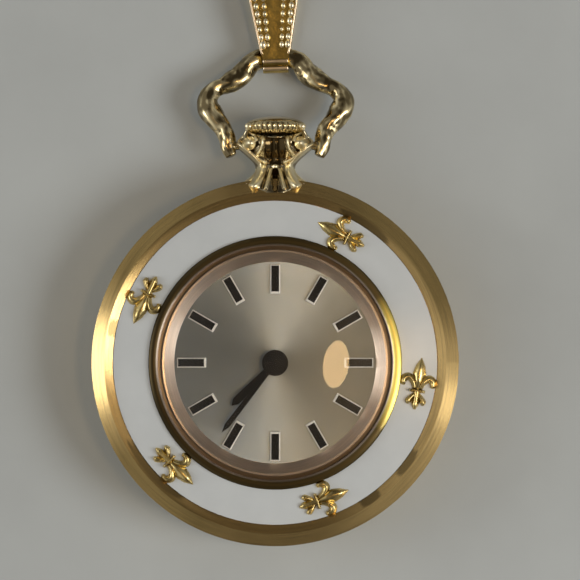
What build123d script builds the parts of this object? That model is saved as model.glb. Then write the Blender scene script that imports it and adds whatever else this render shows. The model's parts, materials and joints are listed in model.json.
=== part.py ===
# Pendant watch, lying on its back on a table with the dial up.
# Millimetres. +Z comes out of the dial, +Y points to twelve o'clock, and the origin is the middle
# of the case back's flat outer face, which lies on the table.
import os
from math import asin, atan2, cos, degrees, pi, radians, sin, sqrt

from build123d import *

os.makedirs("parts", exist_ok=True)

# Clearances and the overrun of every cut
cut_over = 0.4
fit_gap = 0.05
wheel_gap = 0.08
running_gap = 0.04
pivot_gap = 0.02

# Dial and markers. The case is built outward and upward from the dial.
dial_radius = 8.3
dial_bottom = 4.6
dial_thickness = 0.4
dial_hole_radius = 0.75
dial_foot_radius = 0.35
dial_foot_in = 0.7
dial_foot_length = 0.65
dial_foot_angles = (45, 245)
marker_edge_gap = 0.83
marker_length = 2.09
marker_width = 0.76
marker_height = 0.2
marker_frame_wall = 0.08
marker_count = 12

# Bezel, from its ledge over the dial out to its rim: widths, then heights
dial_edge_gap = 0.1
ledge_width = 0.65
collar_inner_width = 0.31
collar_outer_width = 0.35
channel_width = 2.82
ridge_width = 0.65
rim_width = 1.0
ledge_rise = 0.3
channel_drop = 0.1
collar_edge_rise = 0.2
collar_crest_rise = 0.15
rim_edge_height = 0.4
ridge_rise = 0.85
ridge_drop = 0.25

# Case middle
band_wall = 3.13
band_step = 0.15
band_bulge_in = 0.17
band_bulge_rise = 1.7

# Case back
seam_level = 1.1
back_edge_in = 0.7
back_bulge_in = 1.9
back_bulge_level = 0.36
back_flat_in = 2.4
back_floor_in = 1.8
back_wall = 0.5
snap_ring_width = 0.5
snap_ring_height = 0.85

# Enamel ring and its five ornaments
enamel_inner_thickness = 0.75
enamel_outer_thickness = 0.35
fleur_thickness = 0.35
fleur_length = 4.1
fleur_angles = (62.7, 154.1, 225.6, 289.6, 351.5)

# Crystal and the ring inside its edge
crystal_edge_height = 0.9
crystal_dome_height = 1.1
crystal_wall = 0.3
crystal_shoulder_thickness = 0.35
crystal_top_thickness = 0.85
ring_edge_gap = 0.1
ring_width = 0.5
ring_crest_width = 0.15
ring_height = 0.75

# Hands, drawn at the time in the photo
hour_hand_clock_angle = 225.5
hour_hand_length = 4.67
hour_hand_root_width = 0.45
hour_hand_width = 0.62
hour_hand_rise = 0.28
hour_hub_radius = 0.85
hand_thickness = 0.12
hand_gap = 0.2
minute_hand_clock_angle = 217.5
minute_hand_length = 6.7
minute_hand_root_width = 0.34
minute_hand_width = 0.42
hub_radius = 1.0
hub_height = 0.35

# Plate and bridges
plate_edge_width = 0.3
plate_thickness = 1.25
ring_ledge_width = 0.3
bridge_edge_in = 0.4
bridge_gap = 1.2
bridge_thickness = 0.85
pillar_radius = 0.65
pillar_in = 0.8
screw_head_radius = 0.38
screw_head_height = 0.28
screw_shank_radius = 0.2
screw_reach = 0.4
screw_slot_width = 0.1
screw_slot_depth = 0.1
barrel_pillar_angles = (118, 188)
train_pillar_angles = (55, -20, -48)
cock_pillar_angles = (213,)
keyless_screw_x = 1.3
keyless_screw_y = 7.55

# The bridges' outlines, as shares of the bridges' radius
barrel_bridge_shares = (
    (0.28, 1.1),
    (0.28, 0.28),
    (0.11, 0.11),
    (0.11, -0.11),
    (-0.11, -0.22),
    (-1.1, -0.22),
    (-1.1, 1.1),
)
train_bridge_shares = (
    (0.3, 1.1),
    (1.1, 1.1),
    (1.1, -0.756),
    (0.44, -0.756),
    (0.268, -0.634),
    (0.244, -0.354),
    (0.128, -0.122),
    (0.128, 0.104),
    (0.3, 0.274),
)
cock_shares = (
    (-1.1, -0.25),
    (-0.56, -0.25),
    (-0.073, -0.5),
    (0.061, -0.573),
    (0.061, -0.695),
    (-0.159, -0.756),
    (-0.537, -0.732),
    (-0.732, -0.915),
    (-1.1, -0.915),
)

# Teeth: shares of the module and of one tooth pitch
tip_share = 0.9
root_share = 1.25
tip_width_share = 0.2
root_width_share = 0.52

# Going train
barrel_module = 0.1
barrel_teeth = 72
centre_leaves = 12
centre_module = 0.08
centre_teeth = 64
third_leaves = 8
third_module = 0.075
third_teeth = 60
fourth_leaves = 8
fourth_module = 0.065
fourth_teeth = 70
escape_leaves = 7
escape_teeth = 15
escape_tip_radius = 1.75
escape_root_radius = 1.42
escape_arms = 4
escape_tooth_shares = ((0, -0.2), (1, -0.02), (1, 0.1), (0, 0.15))
barrel_bearing = radians(160)
third_bearing = radians(20)
fourth_bearing = radians(-75)
escape_bearing = radians(-100)
pallet_bearing = radians(195)
balance_bearing = radians(195)
escape_to_pallet = 2.0
pallet_to_balance = 2.4

# Heights in the going train. A rise is the distance above the bridges.
arbor_radius = 0.12
pivot_radius = 0.07
bridge_pivot_length = 0.37
plate_pivot_length = 0.27
wheel_thickness = 0.12
centre_wheel_rise = 0.07
third_leaf_rise = 0.03
third_leaf_length = 0.24
third_wheel_rise = 0.6
fourth_wheel_rise = 0.35
fourth_leaf_rise = 0.53
fourth_leaf_length = 0.27
escape_leaf_rise = 0.25
escape_leaf_length = 0.32
escape_wheel_rise = 0.85
wheel_rim_width = 0.3
wheel_hub_radius = 0.42
wheel_arm_width = 0.2
train_wheel_arms = 4

# Centre arbor
centre_arbor_radius = 0.3
centre_top_radius = 0.25
centre_leaf_length = 0.32
centre_foot_radius = 0.15
centre_hub_radius = 0.6
centre_wheel_arms = 5
centre_jewel_radius = 0.5

# Barrel
drum_radius = 3.35
drum_wall = 0.2
drum_height = 1.2
drum_ring_thickness = 0.24
drum_floor_thickness = 0.2
cover_thickness = 0.13
barrel_recess_gap = 0.13
barrel_recess_depth = 0.33
barrel_gap = 0.06
arbor_core_radius = 0.8
arbor_neck_radius = 0.55
arbor_top_radius = 0.35
arbor_square = 0.9
arbor_end_length = 0.55
spring_inner_radius = 0.92
spring_outer_radius = 3.05
spring_turns = 8
spring_thickness = 0.12
spring_steps = 20

# Winding work on the bridge
winding_module = 0.15
ratchet_teeth = 44
crown_wheel_teeth = 24
winding_leaves = 16
winding_recess_depth = 0.5
winding_wheel_thickness = 0.38
winding_head_height = 0.2
crown_core_radius = 0.65
crown_core_head_radius = 1.0
ratchet_screw_radius = 0.7
ratchet_shank_radius = 0.22

# Click and its spring
click_bearing = radians(122)
click_reach = 4.0
click_body_radius = 0.32
click_pin_radius = 0.16
click_nose_length = 1.05
click_nose_width = 0.2
click_nose_gap = 0.04
click_room_back = radians(22)
click_room_front = radians(6)
click_spring_width = 0.08
click_spring_angle = radians(16)
click_spring_post_radius = 0.14

# Stem, winding pinion and clutch, on one axis. A start is a distance from the watch's middle.
stem_drop = 0.45
stem_radius = 0.45
stem_inner_end = 3.6
stem_pilot_radius = 0.22
stem_square_start = 4.62
stem_square = 0.56
stem_groove_start = 7.1
stem_groove_width = 0.4
stem_groove_radius = 0.25
stem_crown_gap = 0.5
pinion_start = 6.3
pinion_length = 0.5
pinion_room_gap = 0.06
clutch_length = 1.14
clutch_radius = 0.98
clutch_teeth = 14
clutch_tooth_length = 0.22
clutch_groove_offset = 0.38
clutch_groove_width = 0.3
clutch_groove_radius = 0.65
clutch_body_radius = 0.92
clutch_room_gap = 0.62
clutch_dog_count = 6
clutch_dog_length = 0.14
clutch_dog_width = 0.2
clutch_dog_reach = 0.3
crown_travel = 0.7
clutch_travel = 0.48
keyless_half_width = 1.9
keyless_start = 4.2

# Setting lever, yoke and the cover over them
lever_pocket_depth = 0.72
lever_thickness = 0.22
lever_width = 0.46
lever_pin_radius = 0.12
lever_arm = 1.9
yoke_arm = 1.5
jumper_gap = 0.06
jumper_thickness = 0.3
jumper_half_width = 2.65
jumper_start = 4.9
jumper_end = 7.95
pocket_wall = 0.2
lever_pivot_radius = 0.2
lever_boss_radius = 0.38

# Motion work under the dial
motion_module = 0.11
cannon_leaves = 10
minute_wheel_teeth = 30
minute_leaves = 8
hour_wheel_teeth = 32
setting_wheel_teeth = 20
minute_wheel_x = 1.784
motion_depth = 0.65
setting_depth = 0.82
cannon_leaf_length = 0.25
cannon_tube_radius = 0.38
minute_wheel_thickness = 0.13
minute_leaf_length = 0.4
setting_wheel_thickness = 0.26
hour_wheel_rise = 0.39
hour_wheel_thickness = 0.14
hour_tube_radius = 0.6
hour_tube_bore = 0.43
post_radius = 0.2
post_bore_gap = 0.03

# Escapement and balance
fork_rise = 0.8
fork_thickness = 0.17
fork_length = 1.72
fork_shares = (
    (-0.116, 0),
    (-0.14, 0.262),
    (-0.174, 0.465),
    (-0.186, 0.669),
    (-0.116, 0.733),
    (0.116, 0.733),
    (0.116, 0.494),
    (0.029, 0.174),
    (0.116, 0.07),
    (0.698, 0.047),
    (0.843, 0.145),
    (1, 0.145),
    (1, 0.047),
    (0.872, 0.047),
    (0.872, 0),
)
stone_length = 0.42
stone_width = 0.16
stone_centre_radius = 2.08
stone_bearing = radians(28)
pallet_bridge_rise = 0.53
pallet_bridge_thickness = 0.2
pallet_bridge_reach = 1.7
pallet_bridge_width = 0.62
pallet_foot_radius = 0.34
pallet_screw_radius = 0.24
pallet_screw_height = 0.08
pallet_shank_radius = 0.12
pallet_jewel_radius = 0.24
balance_radius = 3.0
balance_rim_width = 0.36
balance_rise = 0.25
balance_thickness = 0.22
balance_hub_radius = 0.42
balance_arm_width = 0.26
balance_arms = 2
staff_radius = 0.15
staff_end_gap = 0.07
staff_cock_gap = 0.06
staff_cock_pivot = 0.19
staff_plate_pivot = 0.2
roller_radius = 0.62
roller_drop = 0.01
roller_thickness = 0.11
impulse_reach = 0.5
impulse_radius = 0.05
impulse_length = 0.23
cock_thickness = 0.7
hairspring_gap = 0.1
hairspring_height = 0.12
hairspring_inner_radius = 0.24
hairspring_outer_radius = 1.25
hairspring_turns = 8
hairspring_thickness = 0.03
hairspring_steps = 20
collet_radius = 0.19
stud_radius = 0.14
regulator_thickness = 0.14
regulator_outer_radius = 0.75
regulator_inner_radius = 0.45
regulator_arm_length = 1.7
regulator_arm_width = 0.28

# Jewels
jewel_radius = 0.36
jewel_thickness = 0.18
cap_thickness = 0.12

# Pendant neck: (distance from its foot, half width) of each section, as shares of its length and
# of its widest half width
neck_sunk = 0.83
neck_length = 4.75
neck_half_width = 3.05
neck_section_shares = (
    (0, 0.793),
    (0.116, 0.754),
    (0.263, 0.607),
    (0.368, 0.518),
    (0.474, 0.544),
    (0.6, 0.787),
    (0.747, 1),
    (0.895, 0.911),
    (1, 0.754),
)
neck_depth_share = 0.8
neck_foot_half_width = 2.1
neck_foot_length = 1.0
neck_tube_radius = 1.0
neck_tube_gap = 0.07
neck_pin_hole_depth = 0.62
neck_lip_half_width = 1.3
neck_lip_gap = 0.53
neck_lip_reach = 0.52
neck_lip_thickness = 0.25
volute_x = 1.95
volute_rise = 2.66
volute_radius = 0.45
volute_height = 2.05

# Crown
crown_radius = 2.33
crown_gap = 3.32
crown_length = 1.6
crown_equator_rise = 0.84
crown_base_radius = 1.0
crown_bulge_radius = 1.85
crown_bulge_rise = 0.28
crown_flutes = 24
crown_flute_depth = 0.14
crown_cup_gap = 0.1

# Bow: a bent tube, stored tipped back so that its top lies in the bail
pivot_rise = 2.62
bow_half_width = 5.24
bow_end_radius = 0.85
bow_end_inner_x = 3.12
bow_end_width = 1.1
bow_pin_radius = 0.35
bow_pin_length = 0.52
bow_reach = 7.15
bow_radius = 0.94

# The bow's line, as shares of its half width and reach, and its thickness along that line
bow_line_shares = (
    (0.706, 0),
    (0.714, 0.084),
    (0.763, 0.189),
    (0.878, 0.294),
    (0.983, 0.413),
    (1, 0.531),
    (0.906, 0.636),
    (0.735, 0.699),
    (0.569, 0.764),
    (0.477, 0.839),
    (0.363, 0.937),
    (0.229, 0.989),
    (0.095, 1),
)
bow_stations = 44
bow_radius_shares = (0.6, 0.8, 0.92, 1, 0.9, 0.78, 0.71, 0.86, 0.94, 0.92, 0.82, 0.79)

# Bail: a strap folded round the bow's top and round the space for a chain
strap_thickness = 0.35
bail_low_inner = 0.85
bail_top_inner = 1.2
bail_length = 9.5
bail_half_width = 2.05
bail_lean = 1.9

# The bail's outline, as shares of its half width and of its length, from its lower fold
bail_outline_shares = (
    (0.483, -0.17),
    (0.483, -0.01),
    (0.585, 0.058),
    (0.912, 0.447),
    (1, 0.589),
    (0.976, 0.737),
    (0.829, 0.905),
)
bail_groove_depth = 0.08
bail_groove_share = 0.6
bail_groove_start = 0.7
bail_groove_end = 6.4

# Radii and levels that follow from the sizes above, from the dial outward and upward
dial_top = dial_bottom + dial_thickness
dial_foot_reach = dial_radius - dial_foot_in
dial_foot_bottom = dial_bottom - dial_foot_length
marker_outer_radius = dial_radius - marker_edge_gap
marker_inner_radius = marker_outer_radius - marker_length
ledge_radius = dial_radius + dial_edge_gap
crystal_seat_radius = ledge_radius + ledge_width
crystal_radius = crystal_seat_radius - fit_gap
collar_crest_radius = crystal_seat_radius + collar_inner_width
collar_outer_radius = collar_crest_radius + collar_outer_width
rim_inner_radius = collar_outer_radius + channel_width
rim_ridge_radius = rim_inner_radius + ridge_width
case_radius = rim_ridge_radius + rim_width
fleur_centre_radius = (collar_outer_radius + rim_inner_radius) / 2
case_bore_radius = case_radius - band_wall
band_bulge_radius = case_radius - band_bulge_in
band_bulge_level = seam_level + band_bulge_rise
back_edge_radius = case_radius - back_edge_in
back_bulge_radius = back_edge_radius - back_bulge_in
back_flat_radius = back_bulge_radius - back_flat_in
back_floor_radius = back_bulge_radius - back_floor_in
snap_ring_radius = case_bore_radius - fit_gap
snap_ring_top = seam_level + snap_ring_height
bezel_step_level = dial_bottom + fit_gap
band_top = bezel_step_level - band_step
rim_edge_level = band_top + rim_edge_height
rim_ridge_level = rim_edge_level + ridge_rise
rim_inner_level = rim_ridge_level - ridge_drop
crystal_seat_level = dial_top + ledge_rise
channel_floor = crystal_seat_level - channel_drop
enamel_inner_level = channel_floor + enamel_inner_thickness
enamel_outer_level = channel_floor + enamel_outer_thickness
collar_outer_level = enamel_inner_level + collar_edge_rise
collar_crest_level = collar_outer_level + collar_crest_rise
crystal_shoulder_level = crystal_seat_level + crystal_edge_height
crystal_top_level = crystal_shoulder_level + crystal_dome_height
crystal_inner_shoulder_level = crystal_shoulder_level - crystal_shoulder_thickness
crystal_inner_top_level = crystal_top_level - crystal_top_thickness
crystal_inner_radius = crystal_radius - crystal_wall
ring_outer_radius = dial_radius - ring_edge_gap
ring_inner_radius = ring_outer_radius - ring_width
ring_flange_radius = crystal_inner_radius - fit_gap
ring_flange_level = crystal_seat_level + fit_gap
ring_slope_radius = ring_flange_radius - ring_crest_width
ring_top_level = dial_top + ring_height
hour_hand_level = dial_top + hour_hand_rise
minute_hand_level = hour_hand_level + hand_thickness + hand_gap
hub_top = minute_hand_level + hub_height

plate_radius = dial_radius + plate_edge_width
plate_top = dial_bottom
plate_bottom = plate_top - plate_thickness
movement_bore_radius = plate_radius + fit_gap
ring_ledge_radius = plate_radius - ring_ledge_width
pocket_limit_radius = plate_radius - pocket_wall
bridge_radius = plate_radius - bridge_edge_in
bridge_top = plate_bottom - bridge_gap
bridge_bottom = bridge_top - bridge_thickness
pillar_reach = bridge_radius - pillar_in
screw_end_level = plate_bottom + screw_reach
keyless_screw_at = (keyless_screw_x, keyless_screw_y)

arbor_bottom = bridge_top + pivot_gap
arbor_top = plate_bottom - fit_gap
pivot_bottom = bridge_top - bridge_pivot_length
pivot_top = plate_bottom + plate_pivot_length
centre_wheel_level = bridge_top + centre_wheel_rise
third_leaf_bottom = bridge_top + third_leaf_rise
third_leaf_top = third_leaf_bottom + third_leaf_length
third_wheel_level = bridge_top + third_wheel_rise
fourth_wheel_level = bridge_top + fourth_wheel_rise
fourth_leaf_bottom = bridge_top + fourth_leaf_rise
fourth_leaf_top = fourth_leaf_bottom + fourth_leaf_length
escape_leaf_bottom = bridge_top + escape_leaf_rise
escape_leaf_top = escape_leaf_bottom + escape_leaf_length
escape_wheel_level = bridge_top + escape_wheel_rise
centre_low = plate_bottom - pivot_gap
centre_high = centre_low + centre_leaf_length
centre_arbor_top = minute_hand_level - fit_gap
barrel_recess_top = plate_bottom + barrel_recess_depth
drum_top = barrel_recess_top - barrel_gap
drum_bottom = drum_top - drum_height
drum_ring_level = drum_top - drum_ring_thickness
drum_floor_level = drum_top - drum_floor_thickness
barrel_tip = barrel_module * (barrel_teeth / 2 + tip_share)
barrel_recess_radius = barrel_tip + barrel_recess_gap
arbor_end_level = plate_bottom + arbor_end_length
winding_recess_top = bridge_bottom + winding_recess_depth
ratchet_high = winding_recess_top - fit_gap
ratchet_low = ratchet_high - winding_wheel_thickness
winding_head_level = ratchet_low - winding_head_height

stem_level = plate_bottom - stem_drop
clutch_end = pinion_start - running_gap
clutch_start = clutch_end - clutch_length
clutch_groove_start = clutch_start + clutch_groove_offset
clutch_groove_end = clutch_groove_start + clutch_groove_width
clutch_room_start = clutch_start - clutch_room_gap
stem_square_end = pinion_start - pivot_gap
stem_groove_end = stem_groove_start + stem_groove_width
pinion_end = pinion_start + pinion_length
pinion_room_start = pinion_start - pinion_room_gap
pinion_room_end = pinion_end + pinion_room_gap
dog_high = clutch_body_radius
dog_low = dog_high - clutch_dog_reach
lever_pocket_floor = plate_top - lever_pocket_depth
lever_low = lever_pocket_floor + running_gap
lever_high = lever_low + lever_thickness
lever_pin_bottom = stem_level + stem_groove_radius + pivot_gap
yoke_pin_bottom = stem_level + clutch_groove_radius + pivot_gap
jumper_level = lever_high + jumper_gap
motion_floor = plate_top - motion_depth
setting_floor = plate_top - setting_depth
cannon_low = motion_floor + fit_gap
cannon_high = cannon_low + cannon_leaf_length
minute_low = motion_floor + running_gap
minute_high = minute_low + minute_wheel_thickness
minute_leaf_top = minute_high + minute_leaf_length
setting_low = setting_floor + running_gap
setting_high = setting_low + setting_wheel_thickness
hour_low = motion_floor + hour_wheel_rise
hour_high = hour_low + hour_wheel_thickness

fork_low = bridge_top + fork_rise
fork_high = fork_low + fork_thickness
bar_low = bridge_top + pallet_bridge_rise
bar_high = bar_low + pallet_bridge_thickness
balance_low = bridge_top + balance_rise
balance_high = balance_low + balance_thickness
cock_bottom = bridge_bottom
cock_top = cock_bottom + cock_thickness
staff_bottom = cock_top + staff_cock_gap
staff_top = plate_bottom - staff_end_gap
staff_pivot_bottom = cock_top - staff_cock_pivot
staff_pivot_top = plate_bottom + staff_plate_pivot
roller_high = staff_top - roller_drop
roller_low = roller_high - roller_thickness
impulse_bottom = roller_low - impulse_length
hairspring_low = cock_top + hairspring_gap
hairspring_high = hairspring_low + hairspring_height
regulator_bottom = bridge_bottom - regulator_thickness

neck_foot_start = case_radius - neck_sunk
neck_tube_start = case_bore_radius + neck_tube_gap
neck_lip_start = rim_inner_radius + neck_lip_gap
neck_lip_end = case_radius + neck_lip_reach
volute_y = case_radius + volute_rise
volute_level = stem_level + volute_height
crown_base = case_radius + crown_gap
crown_top = crown_base + crown_length
crown_equator = crown_base + crown_equator_rise
stem_outer_end = crown_top - stem_crown_gap
pivot_y = case_radius + pivot_rise
bow_end_outer_x = bow_end_inner_x + bow_end_width
bow_pin_inner_x = bow_end_inner_x - bow_pin_length
low_outer = bail_low_inner + strap_thickness
top_outer = bail_top_inner + strap_thickness

# Centre distances of the wheels
barrel_distance = barrel_module * (barrel_teeth + centre_leaves) / 2
third_distance = centre_module * (centre_teeth + third_leaves) / 2
fourth_distance = third_module * (third_teeth + fourth_leaves) / 2
escape_distance = fourth_module * (fourth_teeth + escape_leaves) / 2
winding_distance = winding_module * (ratchet_teeth + crown_wheel_teeth) / 2
motion_distance = motion_module * (cannon_leaves + minute_wheel_teeth) / 2
setting_distance = motion_module * (minute_wheel_teeth + setting_wheel_teeth) / 2


def away(start, reach, bearing):
    """The point at a reach and bearing from another, seen from above."""
    return (start[0] + reach * cos(bearing), start[1] + reach * sin(bearing))


centre = (0, 0)
barrel_at = away(centre, barrel_distance, barrel_bearing)
third_at = away(centre, third_distance, third_bearing)
fourth_at = away(third_at, fourth_distance, fourth_bearing)
escape_at = away(fourth_at, escape_distance, escape_bearing)
pallet_at = away(escape_at, escape_to_pallet, pallet_bearing)
balance_at = away(pallet_at, pallet_to_balance, balance_bearing)
crown_wheel_at = (0, barrel_at[1] + sqrt(winding_distance**2 - barrel_at[0] ** 2))
minute_at = (minute_wheel_x, sqrt(motion_distance**2 - minute_wheel_x**2))
setting_at = (0, minute_at[1] + sqrt(setting_distance**2 - minute_wheel_x**2))
click_at = away(barrel_at, click_reach, click_bearing)


def scaled(shares, across, along):
    """An outline's corners from their shares of a size across and a size along it."""
    return [(u * across, v * along) for u, v in shares]


def disc(radius, bottom, top, at=(0, 0)):
    """A round block between two levels."""
    base = (Align.CENTER, Align.CENTER, Align.MIN)
    return Pos(at[0], at[1], bottom) * Cylinder(radius, top - bottom, align=base)


def washer(outer, inner, bottom, top, at=(0, 0)):
    """A round block with a hole through it."""
    return disc(outer, bottom, top, at) - disc(inner, bottom - cut_over, top + cut_over, at)


def block(low, high):
    """A square-cornered block between two opposite corners."""
    size = [b - a for a, b in zip(low, high)]
    base = (Align.MIN, Align.MIN, Align.MIN)
    return Pos(*low) * Box(*size, align=base)


def prism(corners, bottom, top):
    """A block with a many-cornered outline between two levels."""
    outline = Polyline(*[(x, y, bottom) for x, y in corners], close=True)
    return extrude(make_face(outline), amount=top - bottom, dir=(0, 0, 1))


def turned(start, *steps):
    """A solid turned round Z from (radius, level) pairs. A step of four numbers is an arc by way
    of its first pair."""
    edges = []
    here = start
    for step in steps + (start,):
        end = step[-2:]
        if len(step) == 4:
            points = [(p[0], 0, p[1]) for p in (here, step[:2], end)]
            edges.append(ThreePointArc(*points))
        else:
            edges.append(Line((here[0], 0, here[1]), (end[0], 0, end[1])))
        here = end
    return revolve(make_face(edges), axis=Axis.Z)


def on_stem(solid):
    """Lays a solid built up along Z onto the stem's axis, which runs along Y."""
    return Pos(0, 0, stem_level) * Rot(-90, 0, 0) * solid


def toothed(teeth, module, bottom, top, turn=0, at=(0, 0)):
    """A wheel with straight-sided teeth, one of them at the angle turn."""
    tip = module * (teeth / 2 + tip_share)
    root = module * (teeth / 2 - root_share)
    pitch = 2 * pi / teeth
    sides = ((root, -root_width_share), (tip, -tip_width_share))
    sides += ((tip, tip_width_share), (root, root_width_share))
    corners = []
    for tooth in range(teeth):
        for radius, share in sides:
            corners.append(away(at, radius, turn + (tooth + share / 2) * pitch))
    return prism(corners, bottom, top)


def in_mesh(teeth, turn, bearing, other_teeth):
    """The turn of a wheel whose gap faces the tooth of another that lies at the bearing from it."""
    return bearing + pi - (turn - bearing) * teeth / other_teeth - pi / other_teeth


def windows(rim_radius, hub_radius, arm_width, arms, bottom, top, at):
    """The cut that leaves a wheel with arms."""
    cut = washer(rim_radius, hub_radius, bottom - cut_over, top + cut_over, at)
    for arm in range(arms):
        bar = block(
            (0, -arm_width / 2, bottom - 2 * cut_over),
            (rim_radius + cut_over, arm_width / 2, top + 2 * cut_over),
        )
        cut -= Pos(at[0], at[1], 0) * Rot(0, 0, 360 * arm / arms) * bar
    return cut


def train_wheel(teeth, module, level, at):
    """A thin wheel of the train with arms and a hole for its arbor."""
    top = level + wheel_thickness
    rim = module * (teeth / 2 - root_share) - wheel_rim_width
    wheel = toothed(teeth, module, level, top, 0, at)
    wheel -= windows(
        rim, wheel_hub_radius, wheel_arm_width, train_wheel_arms, level, top, at
    )
    return wheel - disc(arbor_radius, level - cut_over, top + cut_over, at)


def train_pinion(leaves, module, bottom, top, turn, at):
    """A pinion cut on its arbor, with a thin pivot at each end."""
    pinion = toothed(leaves, module, bottom, top, turn, at)
    pinion += disc(arbor_radius, arbor_bottom, arbor_top, at)
    return pinion + disc(pivot_radius, pivot_bottom, pivot_top, at)


def spiral(inner, outer, turns, steps, thickness, bottom, top, at):
    """A flat spiral strip."""
    count = turns * steps
    path = []
    for step in range(count + 1):
        share = step / count
        path.append((inner + (outer - inner) * share, 2 * pi * turns * share))
    inside = [away(at, radius - thickness / 2, angle) for radius, angle in path]
    outside = [away(at, radius + thickness / 2, angle) for radius, angle in path]
    return prism(inside + outside[::-1], bottom, top)


def dome(radius, edge_level, top_level):
    """A point on the round cap that joins an edge to the middle of its top."""
    rise = top_level - edge_level
    ball = (radius**2 + rise**2) / (2 * rise)
    return (radius / 2, top_level - ball + sqrt(ball**2 - radius**2 / 4))


def mirrored(solid):
    """A solid and its mirror image across the middle of the watch."""
    return solid + mirror(solid, about=Plane.YZ)


def save(name, solid):
    """Writes one node."""
    export_step(solid, "parts/" + name + ".step")


# Case
back_inner_radius = snap_ring_radius - snap_ring_width
case_back = turned(
    (0, 0),
    (back_flat_radius, 0),
    (back_bulge_radius, back_bulge_level, back_edge_radius, seam_level),
    (snap_ring_radius, seam_level),
    (snap_ring_radius, snap_ring_top),
    (back_inner_radius, snap_ring_top),
    (back_inner_radius, seam_level),
    (back_floor_radius, back_wall),
    (0, back_wall),
)
save("case_back", case_back)

band = turned(
    (case_bore_radius, seam_level),
    (back_edge_radius, seam_level),
    (band_bulge_radius, band_bulge_level, case_radius, band_top),
    (case_bore_radius, band_top),
)
neck_seat = disc(neck_tube_radius, case_bore_radius - cut_over, case_radius + cut_over)
case_middle = band - on_stem(neck_seat)
save("case_middle", case_middle)

bezel = turned(
    (ledge_radius, bezel_step_level),
    (case_bore_radius, bezel_step_level),
    (case_bore_radius, band_top),
    (case_radius, band_top),
    (case_radius, rim_edge_level),
    (rim_ridge_radius, rim_ridge_level),
    (rim_inner_radius, rim_inner_level),
    (rim_inner_radius, channel_floor),
    (collar_outer_radius, channel_floor),
    (collar_outer_radius, collar_outer_level),
    (collar_crest_radius, collar_crest_level, crystal_seat_radius, collar_outer_level),
    (crystal_seat_radius, crystal_seat_level),
    (ledge_radius, crystal_seat_level),
)
save("bezel", bezel)

enamel_inner_radius = collar_outer_radius + fit_gap
enamel_outer_radius = rim_inner_radius - fit_gap
enamel_ring = turned(
    (enamel_inner_radius, channel_floor),
    (enamel_outer_radius, channel_floor),
    (enamel_outer_radius, enamel_outer_level),
    (enamel_inner_radius, enamel_inner_level),
)
save("enamel_ring", enamel_ring)

# One ornament's outline, as shares of its length: along it, then across it
fleur_half_shares = (
    (-0.5, 0.0),
    (-0.47, 0.05),
    (-0.4, 0.07),
    (-0.36, 0.05),
    (-0.3, 0.05),
    (-0.33, 0.13),
    (-0.3, 0.19),
    (-0.24, 0.19),
    (-0.2, 0.13),
    (-0.16, 0.075),
    (-0.16, 0.14),
    (-0.08, 0.14),
    (-0.08, 0.075),
    (-0.04, 0.12),
    (0.0, 0.2),
    (-0.02, 0.26),
    (-0.06, 0.28),
    (-0.03, 0.3),
    (0.05, 0.3),
    (0.13, 0.26),
    (0.17, 0.19),
    (0.14, 0.12),
    (0.07, 0.07),
    (0.12, 0.08),
    (0.2, 0.12),
    (0.3, 0.12),
    (0.4, 0.07),
    (0.5, 0.0),
)
fleur_form = turned(
    (enamel_inner_radius, channel_floor),
    (enamel_outer_radius, channel_floor),
    (enamel_outer_radius, enamel_outer_level + fleur_thickness),
    (enamel_inner_radius, enamel_inner_level + fleur_thickness),
)
fleur_shares = list(fleur_half_shares)
fleur_shares += [(u, -v) for u, v in fleur_half_shares[-2:0:-1]]
fleur_corners = [(-v * fleur_length, u * fleur_length) for u, v in fleur_shares]
fleur_blank = prism(fleur_corners, channel_floor, crystal_top_level)
fleur_shell = fleur_form - enamel_ring
fleurs = []
for angle in fleur_angles:
    placed = Rot(0, 0, angle) * Pos(fleur_centre_radius, 0, 0) * fleur_blank
    fleurs.append(placed & fleur_shell)
save("fleur_ornaments", Compound(children=fleurs))

inner_shoulder = (crystal_inner_radius, crystal_inner_shoulder_level)
crystal = turned(
    (crystal_radius, crystal_seat_level),
    (crystal_radius, crystal_shoulder_level),
    dome(crystal_radius, crystal_shoulder_level, crystal_top_level) + (0, crystal_top_level),
    (0, crystal_inner_top_level),
    dome(*inner_shoulder, crystal_inner_top_level) + inner_shoulder,
    (crystal_inner_radius, crystal_seat_level),
)
save("crystal", crystal)

crystal_ring = turned(
    (ring_inner_radius, dial_top),
    (ring_outer_radius, dial_top),
    (ring_outer_radius, ring_flange_level),
    (ring_flange_radius, ring_flange_level),
    (ring_flange_radius, ring_top_level),
    (ring_slope_radius, ring_top_level),
)
save("crystal_ring", crystal_ring)

# Dial, markers and hands
dial = washer(dial_radius, dial_hole_radius, dial_bottom, dial_top)
dial_feet_at = [away(centre, dial_foot_reach, radians(angle)) for angle in dial_foot_angles]
for at in dial_feet_at:
    dial += disc(dial_foot_radius, dial_foot_bottom, dial_bottom + pivot_gap, at)
save("dial", dial)

marker_top = dial_top + marker_height
marker_half = marker_width / 2
marker = block(
    (-marker_half, marker_inner_radius, dial_top), (marker_half, marker_outer_radius, marker_top)
)
inlay_half = marker_half - marker_frame_wall
inlay = block(
    (-inlay_half, marker_inner_radius + marker_frame_wall, dial_top),
    (inlay_half, marker_outer_radius - marker_frame_wall, marker_top),
)
frame = marker - inlay
marker_turns = [Rot(0, 0, 360 * hour / marker_count) for hour in range(marker_count)]
save("hour_markers", Compound(children=[turn * frame for turn in marker_turns]))
save("marker_inlays", Compound(children=[turn * inlay for turn in marker_turns]))


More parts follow.
